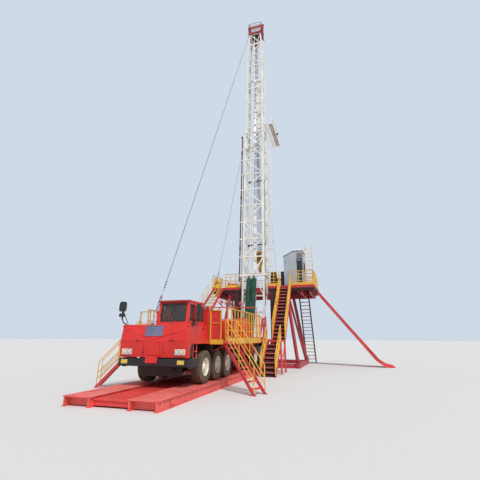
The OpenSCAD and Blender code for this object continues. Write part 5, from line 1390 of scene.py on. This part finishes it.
def mast_lower():
    keep("mast_lower", "white", 0.008)
    plates = Shape(MAST)
    heads = Shape(MAST)
    for w in (TIE_W + 0.02,) + LOW_ROWS:
        for s in (-1, 1):
            gusset(plates, s, LOW_HALF, 0.002, w, 0.17)
            side_gusset(plates, s * LOW_HALF, 0.03, 1, w, 0.15)
            side_gusset(plates, s * LOW_HALF, LOW_DEPTH - 0.03, -1, w, 0.15)
            heads.bolts([(s * (LOW_HALF - 0.21), -0.01, w + dz) for dz in (-0.05, 0.05)], (0, -1, 0), 0.013)
    for s in (-1, 1):
        x = s * (LOW_HALF - LEG / 2)
        # Collars on the legs, and flanges on the head's beams
        for v in (0.09, LOW_DEPTH - 0.09):
            plates.block((x - 0.085, v - 0.085, LOW_LEN - 0.16), (x + 0.085, v + 0.085, LOW_LEN - 0.13))
        for w in (LOW_ROWS[-1] + 0.12, LOW_LEN - 0.02):
            plates.block((-LOW_HALF - 0.02, -0.016, w - 0.055), (LOW_HALF + 0.02, 0.006, w - 0.03))
            plates.block((-LOW_HALF - 0.02, -0.016, w - 0.12), (LOW_HALF + 0.02, 0.006, w - 0.105))
        # Foot plates round the pin
        plates.turned((x - 0.09, 0, 0), (1, 0, 0), [(0, 0.15), (0.18, 0.15)], 40)
        plates.block((x - 0.09, -0.02, 0.1), (x + 0.09, 0.17, 0.42))
    for s in (-1, 1):
        plates.bar((0.1 * s, 0.05, TIE_W - 0.1), (s * (LOW_HALF - 0.1), 0.05, 1.75), 0.06, 0.06)
    # Beam over the raising cylinders: flanges and end caps
    for w in (TIE_W - 0.11, TIE_W + 0.1):
        plates.block((-LOW_HALF - 0.185, -0.035, w - 0.012), (LOW_HALF + 0.185, 0.15, w + 0.012))
    for k in range(9):
        x = -LOW_HALF + k * LOW_HALF / 4
        plates.block((x - 0.008, -0.022, TIE_W - 0.1), (x + 0.008, 0.004, TIE_W + 0.09))
    for s in (-1, 1):
        plates.block((s * (LOW_HALF + 0.19) - 0.012, -0.04, TIE_W - 0.13),
                     (s * (LOW_HALF + 0.19) + 0.012, 0.155, TIE_W + 0.13))
    piece(plates, "lower_plates", "white", "mast", 0.003)
    # Sleeves over the front braces
    sleeves = Shape(MAST)
    wide = LOW_HALF - 0.07
    for i, (w0, w1) in enumerate(zip(LOW_ROWS[:-2], LOW_ROWS[1:-1])):
        s = 1 if i % 2 == 0 else -1
        a, b = Vector((-s * wide, 0.055, w0)), Vector((s * wide, 0.055, w1))
        sleeves.bar(a.lerp(b, 0.05), a.lerp(b, 0.95), 0.088, 0.088)
    for s in (-1, 1):
        for w0, w1 in ((LOW_ROWS[0], TIE_W + 0.06), (LOW_ROWS[-2], LOW_ROWS[-1])):
            a, b = Vector((s * wide, 0.055, w0)), Vector((0, 0.055, w1))
            sleeves.bar(a.lerp(b, 0.05), a.lerp(b, 0.96), 0.088, 0.088)
    piece(sleeves, "lower_braces", "white", "mast", 0.0)
    piece(heads, "lower_bolts", "steel", "mast", 0.0)

    # The ladder's rungs and cage stand proud of the rear leg at +X
    ladder = Shape(MAST)
    for k in range(44):
        w = TIE_W + 0.7 + k * 0.26
        if w < 15.1:
            ladder.tube([(LOW_HALF + 0.06, LOW_DEPTH - 0.1, w),
                         (LOW_HALF + 0.4, LOW_DEPTH - 0.1, w)], 0.013, 8)
    for k in range(13):
        w = TIE_W + 1.6 + k * 0.78
        hoop = [(LOW_HALF + 0.05, LOW_DEPTH - 0.06, w)]
        hoop += [(LOW_HALF + 0.23 - 0.25 * math.cos(t), LOW_DEPTH - 0.06 + 0.42 * math.sin(t), w)
                 for t in [math.pi * m / 10 for m in range(1, 10)]]
        hoop += [(LOW_HALF + 0.41, LOW_DEPTH - 0.06, w)]
        ladder.tube(hoop, 0.011, 6)
    for t in (0.22, 0.5, 0.78):
        x = LOW_HALF + 0.23 - 0.25 * math.cos(math.pi * t)
        v = LOW_DEPTH - 0.06 + 0.42 * math.sin(math.pi * t)
        ladder.tube([(x, v, TIE_W + 1.6), (x, v, TIE_W + 1.6 + 12 * 0.78)], 0.010, 6)
    piece(ladder, "lower_ladder_cage", "white", "mast", 0.0)

    # Dark red brackets under two of the joints, with their sheaves and cross bars
    guides = Shape(MAST)
    for w in (LOW_ROWS[1] - 0.12, LOW_ROWS[5] - 0.12):
        for s in (-1, 1):
            guides.block((s * (LOW_HALF - 0.1) - 0.09, LOW_DEPTH - 0.13, w - 0.2),
                         (s * (LOW_HALF - 0.1) + 0.09, LOW_DEPTH + 0.04, w))
            guides.turned((s * (LOW_HALF - 0.23) - 0.03, LOW_DEPTH - 0.02, w - 0.14), (1, 0, 0),
                          [(0, 0.09), (0.012, 0.07), (0.048, 0.07), (0.06, 0.09)], 20)
        guides.bar((-LOW_HALF + 0.17, LOW_DEPTH - 0.03, w - 0.07),
                   (LOW_HALF - 0.17, LOW_DEPTH - 0.03, w - 0.07), 0.07, 0.07)
    piece(guides, "line_guides", "dark_red", "mast", 0.004)
    hoses = Shape(MAST)
    for k, (x, v) in enumerate(((-LOW_HALF - 0.03, 0.06), (-LOW_HALF - 0.07, 0.06), (LOW_HALF + 0.03, 0.08))):
        hoses.tube([(x, v, 0.9), (x, v + 0.02, 4), (x + 0.01, v, 9), (x, v + 0.01, 14 - k)], 0.017, 8)
    for k in range(9):
        w = 1.6 + 1.45 * k
        hoses.block((-LOW_HALF - 0.1, 0.03, w), (-LOW_HALF + 0.004, 0.1, w + 0.03))
    piece(hoses, "mast_hoses", "black", "mast", 0.0)


def standpipe():
    keep("standpipe", "dark_red", 0.0)
    x, v = -LOW_HALF - 0.245, 0.07
    clamps = Shape(MAST)
    for w in LOW_ROWS:
        clamps.turned((x, v, w - 0.05), (0, 0, 1), [(0, 0.072), (0.1, 0.072)], 20)
        clamps.block((x, v - 0.03, w - 0.04), (-LOW_HALF + 0.02, v + 0.03, w + 0.04))
        clamps.block((x - 0.1, v - 0.012, w - 0.035), (x - 0.06, v + 0.012, w + 0.035))
    piece(clamps, "standpipe_clamps", "white", "mast", 0.003)
    joints = Shape(MAST)
    for w in (5.6, 10.4, 15.2):
        joints.turned((x, v, w), (0, 0, 1), [(0, 0.085), (0.06, 0.085), (0.06, 0.07), (0.16, 0.07),
                                             (0.16, 0.085), (0.22, 0.085)], 20)
    joints.tube([(x, v, 16.98), (x, v, 17.16), (x - 0.03, v + 0.05, 17.3), (x - 0.1, v + 0.14, 17.33),
                 (x - 0.16, v + 0.2, 17.2)], 0.05, 16)
    piece(joints, "standpipe_joints", "dark_red", "mast", 0.0)


def lift_cylinder():
    keep("lift_barrel", "white", 0.003)
    barrel = Shape(MAST)
    for w in (2.4, 4.9, 7.3):
        barrel.turned((0, RAM_V, w), (0, 0, 1), [(0, 0.118), (0.06, 0.118)], 28)
        for s in (-1, 1):
            barrel.block((s * 0.16 - 0.07, RAM_V - 0.02, w + 0.01), (s * 0.16 + 0.07, RAM_V + 0.02, w + 0.05))
    barrel.tube([(0.13, RAM_V, 0.7), (0.14, RAM_V, 5), (0.13, RAM_V, BARREL_TOP - 0.3),
                 (0.08, RAM_V, BARREL_TOP - 0.15)], 0.02, 8)
    piece(barrel, "lift_barrel_bands", "white", "mast", 0.003)
    ram = Shape(MAST)
    ram.turned((0, RAM_V, 0), (0, 0, 1), [(BARREL_TOP, 0.074), (BARREL_TOP + 4.9, 0.074),
                                          (BARREL_TOP + 4.95, 0.085), (BARREL_TOP + 5.05, 0.085),
                                          (BARREL_TOP + 5.1, 0.066), (RAM_HEAD - 0.2, 0.066),
                                          (RAM_HEAD - 0.15, 0.09), (RAM_HEAD - 0.002, 0.09)], 32)
    rod = piece(ram, "lift_ram_rod", "chrome", "mast", 0.0, replaces=("lift_ram",))
    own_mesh(rod)


def mast_upper():
    keep("mast_upper", "white", 0.006)
    plates = Shape(MAST)
    for w in UP_ROWS[:-1]:
        half = up_half(w)
        for s in (-1, 1):
            outline = [(half - 0.014, w - 0.13), (half - UP_LEG, w - 0.13), (half - UP_LEG - 0.12, w - 0.04),
                       (half - UP_LEG - 0.12, w + 0.04), (half - UP_LEG, w + 0.13), (half - 0.014, w + 0.13)]
            plates.prism([(s * x, z) for x, z in outline], UP_V[0] - 0.008, UP_V[0] + 0.008, "y")
    # Panel beside the ram: stiffeners and its diagonal
    plates.bar((0.08, 0.49, 18.0), (0.5, 0.49, 20.6), 0.03, 0.03)
    for k in range(8):
        w = 17.85 + 0.94 * k
        plates.block((0.06, 0.49, w), (0.54, 0.503, w + 0.03))
    for x in (0.06, 0.52):
        plates.block((x, 0.485, 17.7), (x + 0.02, 0.503, 24.65))
    piece(plates, "upper_plates", "white", "upper_mast", 0.003)
    # Sleeves over the front braces, and the guide pipe above the ram
    sleeves = Shape(MAST)
    v = UP_V[0] + 0.03
    for i, (w0, w1) in enumerate(zip(UP_ROWS, UP_ROWS[1:])):
        s = 1 if i % 2 == 0 else -1
        a, b = Vector((-s * (up_half(w0) - 0.07), v, w0)), Vector((s * (up_half(w1) - 0.07), v, w1))
        sleeves.bar(a.lerp(b, 0.05), a.lerp(b, 0.95), 0.078, 0.078)
    sleeves.tube([(-0.09, 0.29, RAM_HEAD + 0.2), (-0.09, 0.29, 31.3)], 0.045, 12)
    piece(sleeves, "upper_braces", "white", "upper_mast", 0.0)
    # Ladder inside the face at +X
    ladder = Shape(MAST)
    x = UP_HALF - 0.15
    for v in (0.42, 0.8):
        ladder.bar((x, v, 16.0), (x, v, TAPER_W), 0.045, 0.045)
        ladder.bar((x, v, TAPER_W - 0.02), (TOP_HALF - 0.15, v, 31.3), 0.045, 0.045)
    for k in range(52):
        w = 16.1 + 0.29 * k
        rung_x = up_half(w) - 0.15
        ladder.tube([(rung_x, 0.42, w), (rung_x, 0.8, w)], 0.013, 8)
    for w in UP_ROWS[1:]:
        rung_x = up_half(w) - 0.15
        ladder.block((rung_x - 0.01, 0.4, w - 0.02), (rung_x + 0.12, 0.82, w + 0.02))
    piece(ladder, "upper_ladder", "white", "upper_mast", 0.002)
    # Cables down the rear leg at -X, and a marker lamp on the front leg at +X
    cables = Shape(MAST)
    for dx in (0.0, 0.045):
        cables.tube([(-up_half(w) + 0.15 + dx, UP_V[1] - 0.16, w)
                     for w in (16.2, 20, 24, TAPER_W, 29.5, 31.3)], 0.014, 8)
    piece(cables, "upper_cables", "black", "upper_mast", 0.0)
    lamp = Shape(MAST)
    lamp.block((UP_HALF - 0.121, UP_V[0] - 0.03, 20.3), (UP_HALF - 0.081, UP_V[0] + 0.01, 20.5))
    lamp.turned((UP_HALF - 0.101, UP_V[0], 20.4), (0, -1, 0), [(0, 0.022), (0.035, 0.022), (0.05, 0.012)], 20)
    piece(lamp, "marker_lamp", "stair", "upper_mast", 0.004)


def crown():
    keep("crown", "crown", 0.006)
    deck_w = CROWN_W + CROWN_UP
    foot_w = CROWN_W - CROWN_DROP
    # The wedge plates take the near-black finish: painted shade under the crown's deck
    wedge = Shape(MAST)
    for v0, v1 in ((0.338, 0.352), (0.848, 0.862)):
        wedge.prism([(-0.49, CROWN_W + 0.02), (0.49, CROWN_W + 0.02), (0.2, foot_w + 0.01),
                     (-0.2, foot_w + 0.01)], v0, v1, "y")
        for k in range(5):
            x = -0.32 + 0.16 * k
            wedge.bar((x, v0 + 0.005, CROWN_W - 0.02), (x * 0.42, v0 + 0.005, foot_w + 0.05), 0.018, 0.05)
    for k in range(4):
        w = CROWN_W - 0.2 - 0.33 * k
        half = 0.5 - 0.3 * (CROWN_W - w) / CROWN_DROP
        wedge.block((-half, 0.33, w - 0.02), (half, 0.87, w + 0.02))
    piece(wedge, "crown_wedge_plates", "under", "upper_mast", 0.004)
    # Braces from the legs to the wedge's foot
    braces = Shape(MAST)
    for s in (-1, 1):
        for v in (0.25, 0.98):
            braces.bar((s * (TOP_HALF - 0.09), v, CROWN_W - 0.05), (s * 0.17, v, foot_w - 0.12), 0.045, 0.045)
    braces.bar((-up_half(30.0) + 0.09, 0.25, 30.02), (up_half(30.0) - 0.09, 0.25, 30.02), 0.05, 0.06)
    piece(braces, "crown_braces", "white", "upper_mast", 0.004)
    sheaves = Shape(MAST)
    sheave_w = CROWN_W + 0.42
    for x in (-0.25, 0.0, 0.25):
        sheaves.turned((x - 0.07, 0.7, sheave_w), (1, 0, 0), [(0, 0.34), (0.02, 0.345), (0.05, 0.29),
                                                              (0.09, 0.29), (0.12, 0.345), (0.14, 0.34)], 48)
    sheaves.turned((-0.49, 0.7, sheave_w), (1, 0, 0),
                   [(0, 0.05), (0.02, 0.09), (0.96, 0.09), (0.98, 0.05)], 24)
    sheaves.turned((CROWN_REACH - 0.19, CROWN_V[0] - 0.17, CROWN_W + 0.4), (0, 1, 0),
                   [(0, 0.1), (0.02, 0.13), (0.04, 0.1)], 28)
    piece(sheaves, "crown_sheaves", "dark_red", "upper_mast", 0.0)
    # Deck grating, toe boards, rail tubes and the small plates below
    trim = Shape(MAST)
    for k in range(14):
        v = CROWN_V[0] + 0.1 + 0.085 * k
        trim.block((-CROWN_X + 0.1, v, deck_w + 0.1), (CROWN_X - 0.1, v + 0.02, deck_w + 0.125))
    for s in (-1, 1):
        trim.block((s * CROWN_X - 0.012, CROWN_V[0], deck_w + 0.12),
                   (s * CROWN_X + 0.012, CROWN_V[1], deck_w + 0.24))
        rail_x = s * (CROWN_X - 0.05)
        for w in (CROWN_W + (CROWN_UP + 0.3), CROWN_W + (CROWN_UP + 0.7)):
            trim.tube([(rail_x, CROWN_V[0] + 0.04, w), (rail_x, CROWN_V[1] - 0.05, w)], 0.014, 8)
    trim.block((-CROWN_X, CROWN_V[0] - 0.07, deck_w + 0.12), (CROWN_REACH, CROWN_V[0] - 0.05, deck_w + 0.22))
    trim.bar((CROWN_X - 0.03, CROWN_V[0] - 0.02, CROWN_W + 0.13),
             (CROWN_REACH - 0.03, CROWN_V[0] - 0.02, deck_w), 0.05, 0.05)
    for x in (-0.6, -0.2, 0.2, 0.6):
        trim.block((x - 0.008, CROWN_V[0] - 0.005, CROWN_W + 0.01),
                   (x + 0.008, CROWN_V[0] + 0.02, CROWN_W + 0.15))
    piece(trim, "crown_trim", "crown", "upper_mast", 0.003)
    lamp = Shape(MAST)
    lamp.bar((CROWN_X - 0.03, CROWN_V[1] - 0.005, CROWN_W + 0.1),
             (CROWN_X + 0.06, CROWN_V[1] - 0.005, CROWN_W + 0.1), 0.03, 0.03)
    lamp.turned((CROWN_X + 0.06, CROWN_V[1] + 0.035, CROWN_W - 0.06), (0, 0, 1),
                [(0, 0.05), (0.02, 0.075), (0.14, 0.06), (0.17, 0.02)], 20)
    piece(lamp, "crown_lamp", "lens", "upper_mast", 0.002)


def racking_board():
    keep("racking_board", "white", 0.005)
    z = BOARD_W
    v0, v1 = BOARD_V
    browns = Shape(MAST)
    for x in (BOARD_OUT - 0.34, BOARD_OUT - 0.08):
        browns.block((x - 0.012, v0 + 0.09, z - 0.066), (x + 0.07, v1 - 0.09, z - 0.05))
        browns.block((x - 0.014, v0 + 0.09, z - 0.06), (x + 0.002, v1 - 0.09, z + 0.045))
    for k in range(22):
        v = v0 + 0.2 + 0.17 * k
        browns.block((BOARD_OUT - 0.33, v, z - 0.03), (BOARD_OUT - 0.02, v + 0.03, z - 0.012))
    piece(browns, "board_timbers", "timber", "racking_board", 0.003)
    tips = Shape(MAST)
    for i in range(9):
        v = v0 + 0.33 + i * 0.4
        x = BOARD_X + 0.11 if v < 1.4 else BOARD_IN + 0.02
        tips.block((x - 0.02, v - 0.012, z - 0.045), (x + 0.06, v + 0.082, z + 0.045))
        tips.turned((x + 0.1, v + 0.035, z + 0.028), (0, 0, 1), [(0, 0.022), (0.05, 0.022)], 12)
    rail = BOARD_OUT - 0.045
    for w in (0.54, 1.045):
        tips.tube([(rail, v0 + 0.02, z + w), (rail, v1 - 0.02, z + w)], 0.024, 10)
    tips.block((BOARD_OUT - 0.02, v0, z + 0.03), (BOARD_OUT - 0.005, v1, z + 0.16))
    for v in (v0 + 0.04, v0 + 1.33, v0 + 2.64, v1 - 0.04):
        tips.bar((rail, v, z + 0.9), (BOARD_OUT - 0.28, v, z + 0.03), 0.025, 0.025)
    piece(tips, "board_fittings", "white", "racking_board", 0.002)
    lamp = Shape(MAST)
    lamp.block((BOARD_OUT - 0.02, 2.3, z + 0.2), (BOARD_OUT + 0.06, 2.5, z + 0.24))
    lamp.turned((BOARD_OUT + 0.05, 2.4, z + 0.24), (0.4, 0, 1),
                [(0, 0.05), (0.04, 0.09), (0.12, 0.1), (0.15, 0.06)], 20)
    piece(lamp, "board_lamp", "black", "racking_board", 0.003)


def travelling_block():
    top = BLOCK_Z[1]
    sheave_z = top - 0.58
    cheeks = Shape()
    outline = [(-0.2, top - 0.02), (0.2, top - 0.02), (0.33, top - 0.3), (0.34, top - 0.62),
               (0.26, top - 0.95), (0.12, top - 1.16), (-0.12, top - 1.16), (-0.26, top - 0.95),
               (-0.34, top - 0.62), (-0.33, top - 0.3)]
    for x in (-0.2, -0.065, 0.065, 0.2):
        wide = 0.025 if abs(x) > 0.1 else 0.012
        cheeks.prism(outline, x - wide, x + wide)
    cheeks.block((-0.21, -0.12, top - 0.16), (0.21, 0.12, top - 0.02))
    cheeks.block((-0.17, -0.1, top - 1.3), (0.17, 0.1, top - 1.08))
    for s in (-1, 1):
        cheeks.block((s * 0.215 - 0.012, -0.05, top - 1.0), (s * 0.215 + 0.012, 0.05, top - 0.15))
    cheeks.turned((0, 0, top - 1.62), (0, 0, 1), [(0, 0.13), (0.04, 0.15), (0.28, 0.15), (0.34, 0.09)], 32)
    piece(cheeks, "block_cheeks", "block", "travelling_block", 0.006, replaces=("travelling_block",))
    dark = Shape()
    for x in (-0.13, 0.0, 0.13):
        dark.turned((x - 0.045, 0, sheave_z), (1, 0, 0),
                    [(0, 0.31), (0.015, 0.32), (0.035, 0.27), (0.055, 0.27), (0.075, 0.32), (0.09, 0.31)], 44)
    dark.turned((-0.26, 0, sheave_z), (1, 0, 0), [(0, 0.06), (0.02, 0.08), (0.5, 0.08), (0.52, 0.06)], 24)
    piece(dark, "block_sheaves", "dark_red", "travelling_block", 0.0)
    hook = Shape()
    hook.tube([(0, 0, top - 1.3), (0, 0, top - 1.66)], 0.06, 20)
    route = [(0, 0.17 * math.sin(t), top - 1.8 + 0.16 * math.cos(t))
             for t in [math.radians(a) for a in range(0, 261, 20)]]
    widths = [0.06, 0.065, 0.07, 0.075, 0.075, 0.075, 0.07, 0.07, 0.065, 0.06, 0.055, 0.045, 0.035, 0.02]
    hook.tube(route, widths, 16)
    for s in (-1, 1):
        hook.turned((s * 0.1 - 0.03, 0, top - 1.72), (1, 0, 0), [(0, 0.09), (0.06, 0.09)], 24)
    piece(hook, "block_hook", "block", "travelling_block", 0.0)


def drill_lines():
    top_v = (-HINGE_Y - (CROWN_W - CROWN_DROP) * math.sin(LEAN)) / math.cos(LEAN)
    top = mast_point(0, top_v, CROWN_W - CROWN_DROP).z
    lines = Shape()
    for x in (-0.16, -0.095, -0.03, 0.03, 0.095, 0.16):
        for y in (-0.28, 0.28):
            lines.tube([(x, y, BLOCK_Z[1] - 0.6), (x * 0.9, y * 0.5, (BLOCK_Z[1] + top) / 2),
                        (x * 0.9, y * 0.3, top)], 0.011, 6)
    ropes = piece(lines, "drill_line_ropes", "rope", "mast", 0.0, replaces=("drill_lines",))
    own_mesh(ropes)
    # The dead line and a winch line down the mast
    dead = Shape(MAST)
    dead.tube([(0.42, 1.0, 3.6), (0.4, 0.9, 15.4)], 0.011, 6)
    dead.tube([(-0.45, 1.02, 3.6), (-0.42, 0.92, 15.4)], 0.009, 6)
    piece(dead, "winch_lines", "rope", "mast", 0.0)


def raising_cylinders():
    top = mast_point(0, *PIN_UP)
    foot = Vector((0, *PIN_LOW))
    along = (Vector((0, top.y, top.z)) - foot).normalized()
    length = (Vector((0, top.y, top.z)) - foot).length
    for n, x in enumerate(RAISE_X):
        start = Vector((x, *PIN_LOW))
        sleeve = Shape()
        profile = [(0.2, 0.15)]
        pleats = int((length - 0.4) / 0.046)
        for k in range(pleats):
            t = 0.22 + k * (length - 0.4) / pleats
            wave = 0.003 * math.sin(k * 1.7) + 0.002 * math.sin(k * 0.6 + n)
            profile += [(t, 0.186 + wave), (t + 0.023, 0.204 + wave)]
        profile += [(length - 0.15, 0.17), (length - 0.12, 0.1)]
        sleeve.turned(start, along, profile, 40)
        obj = piece(sleeve, f"sleeve_{n + 1}", "sleeve", "raising_cylinders", 0.0, smooth=70,
                    replaces=("raise_barrels", "raise_rams") if n == 0 else ())
        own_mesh(obj)
        ends = Shape()
        ends.turned(start - Vector((0.09, 0, 0)), (1, 0, 0),
                    [(0, 0.125), (0.01, 0.13), (0.17, 0.13), (0.18, 0.125)], 36)
        ends.turned(start, along, [(0.08, 0.1), (0.16, 0.145), (0.3, 0.15), (0.31, 0.13)], 32)
        piece(ends, f"sleeve_foot_{n + 1}", "machine", "raising_cylinders", 0.003)
        head = Shape()
        p = mast_point(x, *PIN_UP)
        head.turned(p - Vector((0.09, 0, 0)), (1, 0, 0),
                    [(0, 0.12), (0.01, 0.125), (0.17, 0.125), (0.18, 0.12)], 36)
        piece(head, f"rod_eye_{n + 1}", "machine", "mast", 0.003)


def stay_ropes():
    """Wire ropes with their turnbuckles, thimbles and pins."""
    top = mast_point(-TOP_HALF + 0.02, 0.08, CROWN_W - 0.02)
    side = mast_point(-LOW_HALF - 0.025, 0.125, 17.0)
    routes = ((Vector((-0.56, -15.9, NOSE_TOP + 0.05)), top, 0.016),
              (Vector((-3.45, -1.7, FLOOR_Z + 0.06)), side, 0.011))
    for n, (low, high, radius) in enumerate(routes):
        along = (high - low).normalized()
        rope = Shape()
        rope.tube([low + along * 1.62, high - along * 0.12], radius, 8)
        for d in (1.72, 1.86, 2.0):
            rope.turned(low + along * d, along, [(0, radius * 2.4), (0.03, radius * 2.4)], 8)
        rope.tube([high - along * 0.5, high - along * 0.14 + Vector((0.03, 0, 0)), high], radius * 0.8, 8)
        line = piece(rope, f"stay_rope_{n + 1}", "rope", bevel=0, replaces=("stays",) if n == 0 else ())
        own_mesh(line)
        screw = Shape()
        screw.tube([low, low + along * 0.5], 0.02, 8)
        for k in range(4):
            at = low + along * (0.12 + 0.09 * k)
            across = Vector((1, 0, 0)) if k % 2 else along.cross(Vector((1, 0, 0)))
            turns = [math.pi * m / 6 for m in range(12)]
            ring = [at + along * 0.05 * math.cos(t) + across * 0.03 * math.sin(t) for t in turns]
            screw.tube(ring + ring[:1], 0.009, 6)
        for s in (-1, 1):
            a = low + along * 0.55 + Vector((s * 0.035, 0, 0))
            screw.bar(a, a + along * 0.72, 0.018, 0.04)
        for d in (0.5, 1.22):
            screw.turned(low + along * d, along, [(0, 0.05), (0.09, 0.05)], 6)
        screw.tube([low + along * 1.25, low + along * 1.6], 0.017, 8)
        screw.turned(low + along * 1.6, along, [(-0.03, 0.03), (0.05, 0.03)], 12)
        screw.block(low - Vector((0.05, 0.05, 0.05)), low + Vector((0.05, 0.05, 0.03)))
        piece(screw, f"turnbuckle_{n + 1}", "steel", bevel=0)


# Stage, light and camera


def stage():
    """A pale floor, soft lamps and the photograph's camera."""
    floor = bpy.data.meshes.new("stage_floor")
    reach = 400
    floor.from_pydata([(-reach, -reach, 0), (reach, -reach, 0), (reach, reach, 0), (-reach, reach, 0)], [],
                      [(0, 1, 2, 3)])
    ground = bpy.data.objects.new("stage_floor", floor)
    bpy.context.scene.collection.objects.link(ground)
    pale = bpy.data.materials.new("stage_pale")
    pale.use_nodes = True
    shader = pale.node_tree.nodes["Principled BSDF"]
    shader.inputs["Base Color"].default_value = (0.74, 0.74, 0.74, 1)
    shader.inputs["Roughness"].default_value = 0.9
    floor.materials.append(pale)

    world = bpy.data.worlds.new("soft_light")
    bpy.context.scene.world = world
    world.use_nodes = True
    nodes, links = world.node_tree.nodes, world.node_tree.links
    nodes.clear()
    paths = nodes.new("ShaderNodeLightPath")
    rays = [paths.outputs[f"Is {kind} Ray"] for kind in ("Camera", "Glossy", "Transmission")]
    clear = rays[0]
    for ray in rays[1:]:
        either = nodes.new("ShaderNodeMath")
        either.operation = "MAXIMUM"
        links.new(clear, either.inputs[0])
        links.new(ray, either.inputs[1])
        clear = either.outputs["Value"]
    soft = add_node(nodes, "Background", Color=(1, 1, 1, 1), Strength=0.42)
    back = add_node(nodes, "Background", Color=(0.62, 0.70, 0.80, 1), Strength=1.0)
    both = nodes.new("ShaderNodeMixShader")
    links.new(clear, both.inputs["Fac"])
    links.new(soft.outputs["Background"], both.inputs[1])
    links.new(back.outputs["Background"], both.inputs[2])
    out = nodes.new("ShaderNodeOutputWorld")
    links.new(both.outputs["Shader"], out.inputs["Surface"])

    sun = bpy.data.lights.new("key_light", "SUN")
    sun.energy = 2.5
    sun.angle = math.radians(12)
    key = bpy.data.objects.new("key_light", sun)
    key.rotation_euler = (math.radians(42), 0, math.radians(38))
    bpy.context.scene.collection.objects.link(key)

    lens = bpy.data.cameras.new("photo_camera")
    lens.sensor_width = SENSOR_MM
    lens.lens = FOCAL_PX / PHOTO_PX * SENSOR_MM
    lens.shift_y = -RISE_PX / PHOTO_PX
    lens.clip_end = 1000
    camera = bpy.data.objects.new("photo_camera", lens)
    camera.matrix_world = (Matrix.Translation(EYE) @ Matrix.Rotation(math.radians(HEADING), 4, "Z")
                           @ Matrix.Rotation(math.radians(90 + PITCH), 4, "X")
                           @ Matrix.Rotation(math.radians(ROLL), 4, "Z"))
    bpy.context.scene.collection.objects.link(camera)
    bpy.context.scene.camera = camera
    bpy.context.scene.view_settings.view_transform = "Standard"


stage()
wheels()
running_gear()
levelling_jacks()
base_mat()
nose()
bumper()
front_lamps()
cab()
mirrors()
deck()
deck_rails()
power_pack()
drawworks()
stairs()
drill_floor()
floor_rails()
floor_tools()
doghouse()
pipe_ramp()
substructure()
mast_lower()
standpipe()
lift_cylinder()
mast_upper()
crown()
racking_board()
travelling_block()
drill_lines()
raising_cylinders()
stay_ropes()
